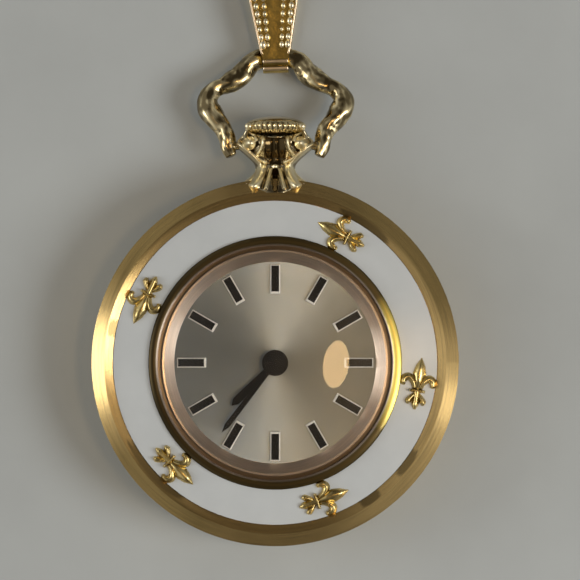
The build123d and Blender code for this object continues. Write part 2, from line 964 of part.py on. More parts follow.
def hand(length, root_width, width, level, bore_radius, boss_radius, clock_angle):
    """A flat hand that widens to three quarters of its length and ends in a chisel point."""
    halves = ((0, root_width / 2), (length * 3 / 4, width / 2))
    halves += ((length * 9 / 10, width / 2),)
    right = [(half, y) for y, half in halves]
    left = [(-x, y) for x, y in right[::-1]]
    blade = prism(right + [(0, length)] + left, level, level + hand_thickness)
    blade += disc(boss_radius, level, level + hand_thickness)
    blade -= disc(bore_radius, level - cut_over, level + hand_thickness + cut_over)
    return Rot(0, 0, -clock_angle) * blade


hour_hand = hand(
    hour_hand_length,
    hour_hand_root_width,
    hour_hand_width,
    hour_hand_level,
    hour_tube_radius,
    hour_hub_radius,
    hour_hand_clock_angle,
)
save("hour_hand", hour_hand)
minute_hand = hand(
    minute_hand_length,
    minute_hand_root_width,
    minute_hand_width,
    minute_hand_level,
    cannon_tube_radius,
    hub_radius,
    minute_hand_clock_angle,
)
minute_hand += disc(hub_radius, minute_hand_level + hand_thickness, hub_top)
save("minute_hand", minute_hand)

# Movement ring, which carries the plate on a ledge
movement_ring = turned(
    (ring_ledge_radius, snap_ring_top),
    (snap_ring_radius, snap_ring_top),
    (snap_ring_radius, bezel_step_level),
    (movement_bore_radius, bezel_step_level),
    (movement_bore_radius, plate_bottom),
    (ring_ledge_radius, plate_bottom),
)
movement_ring -= on_stem(disc(stem_radius + fit_gap, ring_ledge_radius - 2 * cut_over, case_radius))
save("movement_ring", movement_ring)

# Main plate: bearings for everything, pockets for the wheels and the block that carries the stem
plate = disc(plate_radius, plate_bottom, plate_top)
keyless = block(
    (-keyless_half_width, keyless_start, bridge_top),
    (keyless_half_width, plate_radius, plate_bottom),
)
plate += keyless & disc(bridge_radius, bridge_top - cut_over, plate_bottom + cut_over)
plate -= disc(barrel_recess_radius, plate_bottom - cut_over, barrel_recess_top, barrel_at)
centre_tip = barrel_module * (centre_leaves / 2 + tip_share)
plate -= disc(centre_tip + wheel_gap, plate_bottom - cut_over, barrel_recess_top)
plate -= disc(centre_top_radius + fit_gap, plate_bottom, plate_top)
hour_tip = motion_module * (hour_wheel_teeth / 2 + tip_share)
minute_tip = motion_module * (minute_wheel_teeth / 2 + tip_share)
setting_tip = motion_module * (setting_wheel_teeth / 2 + tip_share)
plate -= disc(hour_tip + wheel_gap, motion_floor, plate_top + cut_over)
plate -= disc(minute_tip + wheel_gap, motion_floor, plate_top + cut_over, minute_at)
plate -= disc(setting_tip + wheel_gap, setting_floor, plate_top + cut_over, setting_at)
plate += disc(post_radius, motion_floor - fit_gap, plate_top, minute_at)
plate += disc(post_radius, setting_floor - fit_gap, plate_top, setting_at)
stem_bore = stem_radius + fit_gap
plate -= on_stem(disc(stem_bore, pinion_room_start, plate_radius + cut_over))
plate -= on_stem(disc(stem_pilot_radius + fit_gap, keyless_start - cut_over, pinion_room_start))
clutch_room_radius = clutch_radius + wheel_gap
plate -= on_stem(disc(clutch_room_radius, clutch_room_start, pinion_room_start + fit_gap))
pinion_tip = winding_module * (winding_leaves / 2 + tip_share)
plate -= on_stem(disc(pinion_tip + wheel_gap, pinion_room_start, pinion_room_end))

# Pockets for the setting lever and the yoke, with slots for their pins
lever_swing = asin(crown_travel / 2 / lever_arm)
lever_pin_y = (stem_groove_start + stem_groove_end) / 2
lever_at = (lever_arm * cos(lever_swing), lever_pin_y + crown_travel / 2)
yoke_swing = asin(clutch_travel / 2 / yoke_arm)
yoke_pin_y = (clutch_groove_start + clutch_groove_end) / 2
yoke_at = (-yoke_arm * cos(yoke_swing), yoke_pin_y - clutch_travel / 2)
lever_half = lever_width / 2
boss_edge = lever_boss_radius + wheel_gap
pocket_edge = lever_half + wheel_gap
slot_half = lever_pin_radius + wheel_gap
pocket = block(
    (-pocket_edge, lever_pin_y - pocket_edge, lever_pocket_floor),
    (lever_at[0] + boss_edge, lever_pin_y + crown_travel + pocket_edge, plate_top),
)
pocket += block(
    (yoke_at[0] - boss_edge, yoke_pin_y - clutch_travel - pocket_edge, lever_pocket_floor),
    (pocket_edge, yoke_pin_y + pocket_edge, plate_top),
)
pocket += block(
    (-slot_half, lever_pin_y - slot_half, stem_level),
    (slot_half, lever_pin_y + crown_travel + slot_half, plate_top),
)
pocket += block(
    (-slot_half, yoke_pin_y - clutch_travel - slot_half, stem_level),
    (slot_half, yoke_pin_y + slot_half, plate_top),
)
pocket += block(
    (-jumper_half_width - fit_gap, jumper_start - fit_gap, jumper_level),
    (jumper_half_width + fit_gap, jumper_end + fit_gap, plate_top + cut_over),
)
plate -= pocket & disc(pocket_limit_radius, bridge_top, plate_top + cut_over)
lever_post_bottom = lever_pocket_floor - fit_gap
plate += disc(lever_pivot_radius, lever_post_bottom, jumper_level, lever_at)
plate += disc(lever_pivot_radius, lever_post_bottom, jumper_level, yoke_at)

# Pillars and screws: where each bridge stands on the plate
barrel_feet = [away(centre, pillar_reach, radians(angle)) for angle in barrel_pillar_angles]
train_feet = [away(centre, pillar_reach, radians(angle)) for angle in train_pillar_angles]
cock_feet = [away(centre, pillar_reach, radians(angle)) for angle in cock_pillar_angles]
bridge_screws_at = barrel_feet + train_feet + cock_feet + [keyless_screw_at]
pallet_feet = [
    away(pallet_at, pallet_bridge_reach, pallet_bearing - pi / 2),
    away(pallet_at, pallet_bridge_reach, pallet_bearing + pi / 2),
]


def screw(at, head_radius, shank_radius, head_bottom, head_top):
    """A slotted screw standing head down."""
    slot = block(
        (-head_radius - cut_over, -screw_slot_width / 2, head_bottom - cut_over),
        (head_radius + cut_over, screw_slot_width / 2, head_bottom + screw_slot_depth),
    )
    body = disc(head_radius, head_bottom, head_top) - slot
    return Pos(at[0], at[1], 0) * (body + disc(shank_radius, head_top, screw_end_level))


def screw_hole(at, head_radius, shank_radius, head_top):
    """The counterbore and hole for one such screw."""
    hole = disc(head_radius + pivot_gap, head_top - cut_over, head_top, at)
    return hole + disc(shank_radius, head_top - cut_over, screw_end_level, at)


head_bottom = bridge_bottom - fit_gap
head_top = bridge_bottom + screw_head_height
small_head_bottom = bar_low - fit_gap
small_head_top = bar_low + pallet_screw_height
screws = []
big_holes = []
small_holes = []
for at in bridge_screws_at:
    screws.append(screw(at, screw_head_radius, screw_shank_radius, head_bottom, head_top))
    big_holes.append(screw_hole(at, screw_head_radius, screw_shank_radius, head_top))
for at in pallet_feet:
    screws.append(
        screw(at, pallet_screw_radius, pallet_shank_radius, small_head_bottom, small_head_top)
    )
    small_holes.append(screw_hole(at, pallet_screw_radius, pallet_shank_radius, small_head_top))
save("bridge_screws", Compound(children=screws))
for hole in big_holes + small_holes:
    plate -= hole & disc(plate_radius, bridge_top, plate_top)

# Jewels: one in the plate and one in a bridge for each arbor, and two caps for the balance
plate_jewel_top = plate_bottom + jewel_thickness
pivot_bore = pivot_radius + pivot_gap
plate_pivots_at = [third_at, fourth_at, escape_at, pallet_at, balance_at]
jewels = []
for at in plate_pivots_at:
    jewels.append(washer(jewel_radius, pivot_bore, plate_bottom, plate_jewel_top, at))
    plate -= disc(jewel_radius, plate_bottom - cut_over, plate_jewel_top, at)
    plate -= disc(pivot_bore, plate_bottom, pivot_top + fit_gap, at)
plate_cap_bottom = staff_pivot_top + pivot_gap
plate_cap_top = plate_cap_bottom + cap_thickness
jewels.append(disc(jewel_radius, plate_cap_bottom, plate_cap_top, balance_at))
plate -= disc(jewel_radius, plate_bottom, plate_cap_top, balance_at)
centre_jewel_bore = centre_top_radius + pivot_gap
centre_jewel_top = barrel_recess_top + jewel_thickness
jewels.append(washer(centre_jewel_radius, centre_jewel_bore, barrel_recess_top, centre_jewel_top))
plate -= disc(centre_jewel_radius, plate_bottom, centre_jewel_top)
plate -= disc(arbor_top_radius + fit_gap, plate_bottom, arbor_end_level + fit_gap, barrel_at)
for at in dial_feet_at:
    plate -= disc(dial_foot_radius, dial_foot_bottom, plate_top + cut_over, at)
save("main_plate", plate)

# Barrel bridge, with sunk places for the ratchet, the crown wheel and the click
limit = disc(bridge_radius, bridge_bottom - cut_over, plate_bottom + cut_over)
corners = scaled(barrel_bridge_shares, bridge_radius, bridge_radius)
barrel_bridge = prism(corners, bridge_bottom, bridge_top) & limit
for at in barrel_feet:
    barrel_bridge += disc(pillar_radius, bridge_bottom, plate_bottom, at)
ratchet_tip = winding_module * (ratchet_teeth / 2 + tip_share)
crown_wheel_tip = winding_module * (crown_wheel_teeth / 2 + tip_share)
sunk_bottom = bridge_bottom - cut_over
barrel_bridge -= disc(ratchet_tip + wheel_gap, sunk_bottom, winding_recess_top, barrel_at)
barrel_bridge -= disc(crown_wheel_tip + wheel_gap, sunk_bottom, winding_recess_top, crown_wheel_at)
barrel_bridge -= disc(arbor_neck_radius + fit_gap, sunk_bottom, bridge_top + cut_over, barrel_at)
barrel_bridge -= on_stem(disc(pinion_tip + wheel_gap, pinion_room_start, pinion_room_end))
barrel_bridge -= on_stem(disc(clutch_room_radius, clutch_room_start, pinion_room_start + fit_gap))
click_tip_bearing = click_bearing + click_nose_length / click_reach
room_sides = (click_bearing - click_room_back, click_tip_bearing + click_room_front)
room_far = click_reach + click_body_radius + wheel_gap
click_sector = prism(
    [barrel_at] + [away(barrel_at, 2 * click_reach, side) for side in room_sides],
    sunk_bottom,
    winding_recess_top,
)
barrel_bridge -= click_sector & disc(room_far, sunk_bottom, winding_recess_top, barrel_at)
barrel_bridge += disc(click_pin_radius, ratchet_low, bridge_top, click_at)
for at in barrel_feet + [keyless_screw_at]:
    barrel_bridge -= screw_hole(at, screw_head_radius, screw_shank_radius, head_top)
bridge_jewel_bottom = bridge_top - jewel_thickness
centre_foot_bore = centre_foot_radius + pivot_gap
jewels.append(washer(jewel_radius, centre_foot_bore, bridge_jewel_bottom, bridge_top))
barrel_bridge -= disc(jewel_radius, bridge_jewel_bottom, bridge_top + cut_over)
barrel_bridge -= disc(centre_foot_bore, pivot_bottom - fit_gap, bridge_top)
save("barrel_bridge", barrel_bridge)

# Train bridge
corners = scaled(train_bridge_shares, bridge_radius, bridge_radius)
train_bridge = prism(corners, bridge_bottom, bridge_top) & limit
for at in train_feet:
    train_bridge += disc(pillar_radius, bridge_bottom, plate_bottom, at)
for at in train_feet:
    train_bridge -= screw_hole(at, screw_head_radius, screw_shank_radius, head_top)
for at in (third_at, fourth_at, escape_at):
    jewels.append(washer(jewel_radius, pivot_bore, bridge_jewel_bottom, bridge_top, at))
    train_bridge -= disc(jewel_radius, bridge_jewel_bottom, bridge_top + cut_over, at)
    train_bridge -= disc(pivot_bore, pivot_bottom - fit_gap, bridge_top, at)
save("train_bridge", train_bridge)

# Pallet bridge: a bar on two feet
bar_length = 2 * pallet_bridge_reach
bar = block(
    (-bar_length / 2, -pallet_bridge_width / 2, bar_low),
    (bar_length / 2, pallet_bridge_width / 2, bar_high),
)
to_pallet = Pos(pallet_at[0], pallet_at[1], 0)
pallet_bridge = to_pallet * Rot(0, 0, degrees(pallet_bearing) + 90) * bar
for at in pallet_feet:
    pallet_bridge += disc(pallet_foot_radius, bar_low, plate_bottom, at)
for hole in small_holes:
    pallet_bridge -= hole
pallet_jewel_bottom = bar_high - jewel_thickness + pivot_gap
jewels.append(washer(pallet_jewel_radius, pivot_bore, pallet_jewel_bottom, bar_high, pallet_at))
pallet_bridge -= disc(pallet_jewel_radius, pallet_jewel_bottom, bar_high + cut_over, pallet_at)
pallet_bridge -= disc(pivot_bore, bar_low - cut_over, bar_high, pallet_at)
save("pallet_bridge", pallet_bridge)

# Balance cock, hairspring stud and regulator
corners = scaled(cock_shares, bridge_radius, bridge_radius)
cock = prism(corners, cock_bottom, cock_top) & limit
for at in cock_feet:
    cock += disc(pillar_radius, cock_bottom, plate_bottom, at)
    cock -= screw_hole(at, screw_head_radius, screw_shank_radius, head_top)
cock_jewel_bottom = cock_top - jewel_thickness
cock_cap_top = staff_pivot_bottom - pivot_gap
cock_cap_bottom = cock_cap_top - cap_thickness
jewels.append(washer(jewel_radius, pivot_bore, cock_jewel_bottom, cock_top, balance_at))
jewels.append(disc(jewel_radius, cock_cap_bottom, cock_cap_top, balance_at))
cock -= disc(jewel_radius, cock_cap_bottom, cock_top + cut_over, balance_at)
save("balance_cock", cock)
save("bearing_jewels", Compound(children=jewels))

stud_at = away(balance_at, hairspring_outer_radius + stud_radius, 0)
save("hairspring_stud", disc(stud_radius, cock_top, hairspring_high, stud_at))
hairspring = spiral(
    hairspring_inner_radius,
    hairspring_outer_radius,
    hairspring_turns,
    hairspring_steps,
    hairspring_thickness,
    hairspring_low,
    hairspring_high,
    balance_at,
)
save("hairspring", hairspring)
regulator = disc(regulator_outer_radius, regulator_bottom, bridge_bottom)
regulator += block(
    (-regulator_arm_length, -regulator_arm_width / 2, regulator_bottom),
    (0, regulator_arm_width / 2, bridge_bottom),
)
regulator -= disc(regulator_inner_radius, regulator_bottom - cut_over, cock_bottom + cut_over)
save("regulator", Pos(balance_at[0], balance_at[1], 0) * regulator)

# Going train: each wheel and pinion starts in mesh with the one before it
centre_turn = in_mesh(barrel_teeth, 0, barrel_bearing + pi, centre_leaves)
third_turn = in_mesh(centre_teeth, 0, third_bearing, third_leaves)
fourth_turn = in_mesh(third_teeth, 0, fourth_bearing, fourth_leaves)
escape_turn = in_mesh(fourth_teeth, 0, escape_bearing, escape_leaves)

centre_pinion = toothed(centre_leaves, barrel_module, centre_low, centre_high, centre_turn)
centre_pinion += disc(centre_arbor_radius, arbor_bottom, centre_high)
centre_pinion += disc(centre_foot_radius, pivot_bottom, centre_low)
centre_pinion += disc(centre_top_radius, centre_low, centre_arbor_top)
save("centre_pinion", centre_pinion)
centre_wheel_top = centre_wheel_level + wheel_thickness
centre_wheel = toothed(centre_teeth, centre_module, centre_wheel_level, centre_wheel_top)
centre_rim = centre_module * (centre_teeth / 2 - root_share) - wheel_rim_width
centre_wheel -= windows(
    centre_rim,
    centre_hub_radius,
    wheel_arm_width,
    centre_wheel_arms,
    centre_wheel_level,
    centre_wheel_top,
    centre,
)
centre_wheel -= disc(centre_arbor_radius, bridge_bottom, plate_bottom)
save("centre_wheel", centre_wheel)

third_wheel = train_wheel(third_teeth, third_module, third_wheel_level, third_at)
save("third_wheel", third_wheel)
third_pinion = train_pinion(
    third_leaves, centre_module, third_leaf_bottom, third_leaf_top, third_turn, third_at
)
save("third_pinion", third_pinion)
fourth_wheel = train_wheel(fourth_teeth, fourth_module, fourth_wheel_level, fourth_at)
save("fourth_wheel", fourth_wheel)
fourth_pinion = train_pinion(
    fourth_leaves, third_module, fourth_leaf_bottom, fourth_leaf_top, fourth_turn, fourth_at
)
save("fourth_pinion", fourth_pinion)
escape_pinion = train_pinion(
    escape_leaves, fourth_module, escape_leaf_bottom, escape_leaf_top, escape_turn, escape_at
)
save("escape_pinion", escape_pinion)

# Escape wheel: slender teeth that lean the way it turns
escape_pitch = 2 * pi / escape_teeth
escape_corners = []
for tooth in range(escape_teeth):
    for radius, share in escape_tooth_shares:
        reach = escape_root_radius + (escape_tip_radius - escape_root_radius) * radius
        escape_corners.append(away(escape_at, reach, (tooth + share) * escape_pitch))
escape_wheel_top = escape_wheel_level + wheel_thickness
escape_wheel = prism(escape_corners, escape_wheel_level, escape_wheel_top)
escape_wheel -= windows(
    escape_root_radius - wheel_rim_width,
    wheel_hub_radius,
    wheel_arm_width,
    escape_arms,
    escape_wheel_level,
    escape_wheel_top,
    escape_at,
)
escape_wheel -= disc(
    arbor_radius, escape_wheel_level - cut_over, escape_wheel_top + cut_over, escape_at
)
save("escape_wheel", escape_wheel)

# Barrel: drum with its ring of teeth, lid, spring and the arbor that winds it
drum_inner = drum_radius - drum_wall
barrel_drum = toothed(barrel_teeth, barrel_module, drum_ring_level, drum_top, 0, barrel_at)
barrel_drum += disc(drum_radius, drum_bottom, drum_top, barrel_at)
barrel_drum -= disc(drum_inner, drum_bottom - cut_over, drum_floor_level, barrel_at)
barrel_drum -= disc(arbor_top_radius + fit_gap, drum_bottom, drum_top + cut_over, barrel_at)
save("barrel_drum", barrel_drum)
cover_top = drum_bottom + cover_thickness
barrel_cover = washer(drum_inner, arbor_neck_radius + fit_gap, drum_bottom, cover_top, barrel_at)
save("barrel_cover", barrel_cover)
core_bottom = cover_top + fit_gap
core_top = drum_floor_level - fit_gap
mainspring = spiral(
    spring_inner_radius,
    spring_outer_radius,
    spring_turns,
    spring_steps,
    spring_thickness,
    core_bottom,
    core_top,
    barrel_at,
)
save("mainspring", mainspring)

square_half = arbor_square / 2
square = Pos(barrel_at[0], barrel_at[1], 0) * block(
    (-square_half, -square_half, ratchet_low), (square_half, square_half, winding_recess_top)
)
barrel_arbor = disc(arbor_neck_radius, ratchet_high, core_bottom, barrel_at)
barrel_arbor += square
barrel_arbor += disc(arbor_core_radius, core_bottom, core_top, barrel_at)
barrel_arbor += disc(arbor_top_radius, core_top, arbor_end_level, barrel_at)
ratchet_shank = disc(ratchet_shank_radius, ratchet_low, bridge_top, barrel_at)
save("barrel_arbor", barrel_arbor - ratchet_shank)
ratchet_head = disc(ratchet_screw_radius, winding_head_level, ratchet_low, barrel_at)
ratchet_slot = Pos(barrel_at[0], barrel_at[1], 0) * block(
    (-ratchet_screw_radius, -screw_slot_width / 2, winding_head_level - cut_over),
    (ratchet_screw_radius, screw_slot_width / 2, winding_head_level + screw_slot_depth),
)
save("ratchet_screw", ratchet_head - ratchet_slot + ratchet_shank)
ratchet_wheel = toothed(ratchet_teeth, winding_module, ratchet_low, ratchet_high, 0, barrel_at)
save("ratchet_wheel", ratchet_wheel - square)

crown_wheel_bearing = atan2(crown_wheel_at[1] - barrel_at[1], crown_wheel_at[0] - barrel_at[0])
crown_wheel_turn = in_mesh(ratchet_teeth, 0, crown_wheel_bearing, crown_wheel_teeth)
crown_wheel = toothed(
    crown_wheel_teeth, winding_module, ratchet_low, ratchet_high, crown_wheel_turn, crown_wheel_at
)
crown_core_bore = crown_core_radius + post_bore_gap
crown_wheel -= disc(crown_core_bore, sunk_bottom, winding_recess_top, crown_wheel_at)
save("crown_wheel", crown_wheel)
crown_core_step = ratchet_low - fit_gap
crown_core = disc(crown_core_head_radius, winding_head_level, crown_core_step)
crown_core -= block(
    (-crown_core_head_radius, -screw_slot_width / 2, winding_head_level - cut_over),
    (crown_core_head_radius, screw_slot_width / 2, winding_head_level + screw_slot_depth),
)
crown_core += disc(crown_core_radius, crown_core_step, winding_recess_top)
save("crown_wheel_core", Pos(crown_wheel_at[0], crown_wheel_at[1], 0) * crown_core)

# Click: its nose lies just clear of the ratchet teeth, and a thin spring stands behind it
nose_radius = ratchet_tip + click_nose_gap
click = prism(
    [
        away(click_at, click_body_radius, click_bearing),
        away(barrel_at, nose_radius + click_nose_width, click_tip_bearing),
        away(barrel_at, nose_radius, click_tip_bearing),
        away(click_at, click_body_radius, click_bearing + pi),
    ],
    ratchet_low,
    ratchet_high,
)
click += disc(click_body_radius, ratchet_low, ratchet_high, click_at)
click -= disc(click_pin_radius + pivot_gap, sunk_bottom, winding_recess_top, click_at)
save("click", click)
spring_post_at = away(barrel_at, click_reach, click_bearing - click_spring_angle)
spring_aim = atan2(click_at[1] - spring_post_at[1], click_at[0] - spring_post_at[0])
spring_reach = 2 * click_reach * sin(click_spring_angle / 2) - click_body_radius - click_nose_gap
strip = block(
    (0, -click_spring_width / 2, ratchet_low), (spring_reach, click_spring_width / 2, ratchet_high)
)
to_spring = Pos(spring_post_at[0], spring_post_at[1], 0) * Rot(0, 0, degrees(spring_aim))
click_spring = to_spring * strip
click_spring += disc(click_spring_post_radius, ratchet_low, winding_recess_top, spring_post_at)
save("click_spring", click_spring)

# Stem, winding pinion and clutch. Turns are seen along the stem.
stem = disc(stem_pilot_radius, stem_inner_end, stem_square_start)
stem += block(
    (-stem_square / 2, -stem_square / 2, stem_square_start),
    (stem_square / 2, stem_square / 2, stem_square_end),
)
stem += disc(stem_radius, stem_square_end, stem_groove_start)
stem += disc(stem_groove_radius, stem_groove_start, stem_groove_end)
stem += disc(stem_radius, stem_groove_end, stem_outer_end)
save("winding_stem", on_stem(stem))


def dogs(gap):
    """The teeth on the clutch's face, or with a gap the slots that they enter."""
    ring = None
    for dog in range(clutch_dog_count):
        tooth = block(
            (dog_low - gap, -clutch_dog_width / 2 - gap, clutch_end - fit_gap),
            (dog_high + gap, clutch_dog_width / 2 + gap, clutch_end + clutch_dog_length + gap),
        )
        tooth = Rot(0, 0, 360 * dog / clutch_dog_count) * tooth
        ring = tooth if ring is None else ring + tooth
    return ring


crown_tooth_x = -(crown_wheel_turn - pi / 2) * winding_module * crown_wheel_teeth / 2
winding_pitch = pi * winding_module
pinion_radius = winding_module * winding_leaves / 2
pinion_turn = -pi / 2 + (crown_tooth_x + winding_pitch / 2) / pinion_radius
winding_pinion = toothed(winding_leaves, winding_module, pinion_start, pinion_end, -pinion_turn)
winding_pinion -= disc(stem_radius + post_bore_gap, pinion_start - cut_over, pinion_end + cut_over)
winding_pinion -= dogs(post_bore_gap)
save("winding_pinion", on_stem(winding_pinion))

clutch_module = clutch_radius / (clutch_teeth / 2 + tip_share)
clutch = toothed(clutch_teeth, clutch_module, clutch_start, clutch_start + clutch_tooth_length)
clutch += disc(clutch_body_radius, clutch_start + clutch_tooth_length, clutch_groove_start)
clutch += disc(clutch_groove_radius, clutch_groove_start, clutch_groove_end)
clutch += disc(clutch_body_radius, clutch_groove_end, clutch_end)
clutch += dogs(0)
square_bore = stem_square / 2 + post_bore_gap
clutch -= block(
    (-square_bore, -square_bore, clutch_start - cut_over),
    (square_bore, square_bore, clutch_end + clutch_dog_length + cut_over),
)
save("clutch_wheel", on_stem(clutch))


def lever(pivot, pin, pin_bottom):
    """A flat lever with a round boss at its pivot and a pin hanging from its far end."""
    bearing = atan2(pin[1] - pivot[1], pin[0] - pivot[0])
    side = bearing + pi / 2
    corners = [away(pivot, lever_half, side), away(pin, lever_half, side)]
    corners += [away(pin, -lever_half, side), away(pivot, -lever_half, side)]
    arm = prism(corners, lever_low, lever_high)
    arm += disc(lever_boss_radius, lever_low, lever_high, pivot)
    arm += disc(lever_half, lever_low, lever_high, pin)
    bore = lever_pivot_radius + post_bore_gap
    arm -= disc(bore, lever_low - cut_over, lever_high + cut_over, pivot)
    return arm + disc(lever_pin_radius, pin_bottom, lever_low, pin)


save("setting_lever", lever(lever_at, (0, lever_pin_y), lever_pin_bottom))
save("yoke", lever(yoke_at, (0, yoke_pin_y), yoke_pin_bottom))
jumper_top = jumper_level + jumper_thickness
setting_jumper = block(
    (-jumper_half_width, jumper_start, jumper_level), (jumper_half_width, jumper_end, jumper_top)
)
setting_jumper &= disc(pocket_limit_radius - fit_gap, jumper_level - cut_over, plate_top)
save("setting_jumper", setting_jumper)

# Motion work, which turns the hour hand and lets the crown set the time
minute_bearing = atan2(minute_at[1], minute_at[0])
minute_turn = in_mesh(cannon_leaves, 0, minute_bearing, minute_wheel_teeth)
hour_turn = in_mesh(minute_leaves, 0, minute_bearing + pi, hour_wheel_teeth)
setting_bearing = atan2(setting_at[1] - minute_at[1], setting_at[0] - minute_at[0])
setting_turn = in_mesh(minute_wheel_teeth, minute_turn, setting_bearing, setting_wheel_teeth)
cannon = toothed(cannon_leaves, motion_module, cannon_low, cannon_high)
cannon += disc(cannon_tube_radius, cannon_low, minute_hand_level + hand_thickness)
cannon -= disc(centre_top_radius, cannon_low - cut_over, centre_arbor_top)
save("cannon_pinion", cannon)
minute_wheel = toothed(
    minute_wheel_teeth, motion_module, minute_low, minute_high, minute_turn, minute_at
)
minute_wheel += toothed(minute_leaves, motion_module, minute_high, minute_leaf_top, 0, minute_at)
post_bore = post_radius + post_bore_gap
minute_wheel -= disc(post_bore, minute_low - cut_over, plate_top, minute_at)
save("minute_wheel", minute_wheel)
hour_wheel = toothed(hour_wheel_teeth, motion_module, hour_low, hour_high, hour_turn)
hour_wheel += disc(hour_tube_radius, hour_low, hour_hand_level + hand_thickness)
hour_wheel -= disc(hour_tube_bore, hour_low - cut_over, hub_top)
save("hour_wheel", hour_wheel)
setting_wheel = toothed(
    setting_wheel_teeth, motion_module, setting_low, setting_high, setting_turn, setting_at
)
setting_wheel -= disc(post_bore, setting_low - cut_over, plate_top, setting_at)
save("setting_wheel", setting_wheel)

# Pallet fork and its two stones, drawn from the pallet arbor toward the balance
stones = []
for side in (-stone_bearing, stone_bearing):
    stone_at = away((-escape_to_pallet, 0), stone_centre_radius, side)
    stone = block(
        (-stone_length / 2, -stone_width / 2, fork_low),
        (stone_length / 2, stone_width / 2, fork_high),
    )
    stones.append(Pos(stone_at[0], stone_at[1], 0) * Rot(0, 0, degrees(side)) * stone)
fork_half = scaled(fork_shares, fork_length, fork_length)
fork_outline = fork_half + [(x, -y) for x, y in fork_half[-2:0:-1]]
fork = prism(fork_outline, fork_low, fork_high)
for stone in stones:
    fork -= stone
fork += disc(arbor_radius, fork_low - fit_gap, arbor_top)
fork += disc(pivot_radius, bar_low - pivot_gap, pivot_top)
facing = Rot(0, 0, degrees(pallet_bearing))
save("pallet_fork", to_pallet * facing * fork)
save("pallet_stones", Compound(children=[to_pallet * facing * stone for stone in stones]))

# Balance wheel, its staff and the roller with its pin
balance_wheel = disc(balance_radius, balance_low, balance_high, balance_at)
balance_wheel -= windows(
    balance_radius - balance_rim_width,
    balance_hub_radius,
    balance_arm_width,
    balance_arms,
    balance_low,
    balance_high,
    balance_at,
)
balance_wheel -= disc(staff_radius, balance_low - cut_over, balance_high + cut_over, balance_at)
save("balance_wheel", balance_wheel)
staff = disc(staff_radius, staff_bottom, staff_top, balance_at)
staff += disc(pivot_radius, staff_pivot_bottom, staff_pivot_top, balance_at)
staff += disc(collet_radius, hairspring_low - pivot_gap, hairspring_high, balance_at)
save("balance_staff", staff)
impulse_at = away(balance_at, -impulse_reach, balance_bearing)
roller = washer(roller_radius, staff_radius, roller_low, roller_high, balance_at)
roller += disc(impulse_radius, impulse_bottom, roller_low, impulse_at)
save("roller", roller)

# Pendant neck: swelling sections along Y, hollowed for the crown and bored for the stem
case_form = turned(
    (0, seam_level),
    (back_edge_radius, seam_level),
    (band_bulge_radius, band_bulge_level, case_radius, band_top),
    (case_radius, rim_edge_level),
    (rim_ridge_radius, rim_ridge_level),
    (rim_inner_radius, rim_inner_level),
    (0, rim_inner_level),
)
sections = []
for start, half_width in scaled(neck_section_shares, neck_length, neck_half_width):
    plane = Plane(
        origin=(0, neck_foot_start + start, stem_level), x_dir=(1, 0, 0), z_dir=(0, 1, 0)
    )
    sections.append(plane * Ellipse(half_width, half_width * neck_depth_share))
neck = loft(sections) - disc(case_radius, 0, crystal_top_level)
foot_plane = Plane(origin=(0, neck_foot_start, stem_level), x_dir=(1, 0, 0), z_dir=(0, 1, 0))
foot = foot_plane * Ellipse(neck_foot_half_width, neck_foot_half_width * neck_depth_share)
lip_edge_radius = case_radius + neck_lip_thickness
neck += extrude(foot, amount=neck_foot_length) - case_form
lip_form = turned(
    (0, stem_level),
    (lip_edge_radius, stem_level),
    (lip_edge_radius, rim_edge_level),
    (rim_ridge_radius, rim_ridge_level + neck_lip_thickness),
    (rim_inner_radius, rim_inner_level + neck_lip_thickness),
    (0, rim_inner_level + neck_lip_thickness),
)
lip = block(
    (-neck_lip_half_width, neck_lip_start, stem_level),
    (neck_lip_half_width, neck_lip_end, crystal_top_level),
)
neck += (lip & lip_form) - case_form
volute_depth = volute_level - stem_level
volute = disc(volute_radius, stem_level - volute_depth, volute_level, (volute_x, volute_y))
neck += mirrored(volute)
neck -= on_stem(disc(stem_bore, neck_tube_start - cut_over, crown_top))
cup = Ellipse(crown_radius + crown_cup_gap, (crown_top - crown_base) / 2 + crown_cup_gap)
cup = extrude(cup, amount=crown_top, both=True)
neck -= Pos(0, (crown_top + crown_base) / 2, 0) * cup
neck += on_stem(washer(neck_tube_radius, stem_bore, neck_tube_start, case_radius + cut_over))
pin_hole = Rot(0, 90, 0) * Cylinder(bow_pin_radius + fit_gap, 2 * neck_pin_hole_depth)
neck -= mirrored(Pos(bow_end_inner_x, pivot_y, stem_level) * pin_hole)
save("pendant_neck", neck)

# Crown: a fluted lens on the stem
crown = turned(
    (0, crown_base),
    (crown_base_radius, crown_base),
    (crown_bulge_radius, crown_base + crown_bulge_rise, crown_radius, crown_equator),
    dome(crown_radius, crown_equator, crown_top) + (0, crown_top),
)
flute_corners = []
for crest in range(crown_flutes):
    for share, depth in ((0, 0), (1 / 2, crown_flute_depth)):
        angle = 2 * pi * (crest + share) / crown_flutes
        flute_corners.append(away(centre, crown_radius - depth, angle))
crown &= prism(flute_corners, crown_base - cut_over, crown_top + cut_over)
crown -= disc(stem_radius, crown_base - cut_over, stem_outer_end)
save("crown", on_stem(crown))

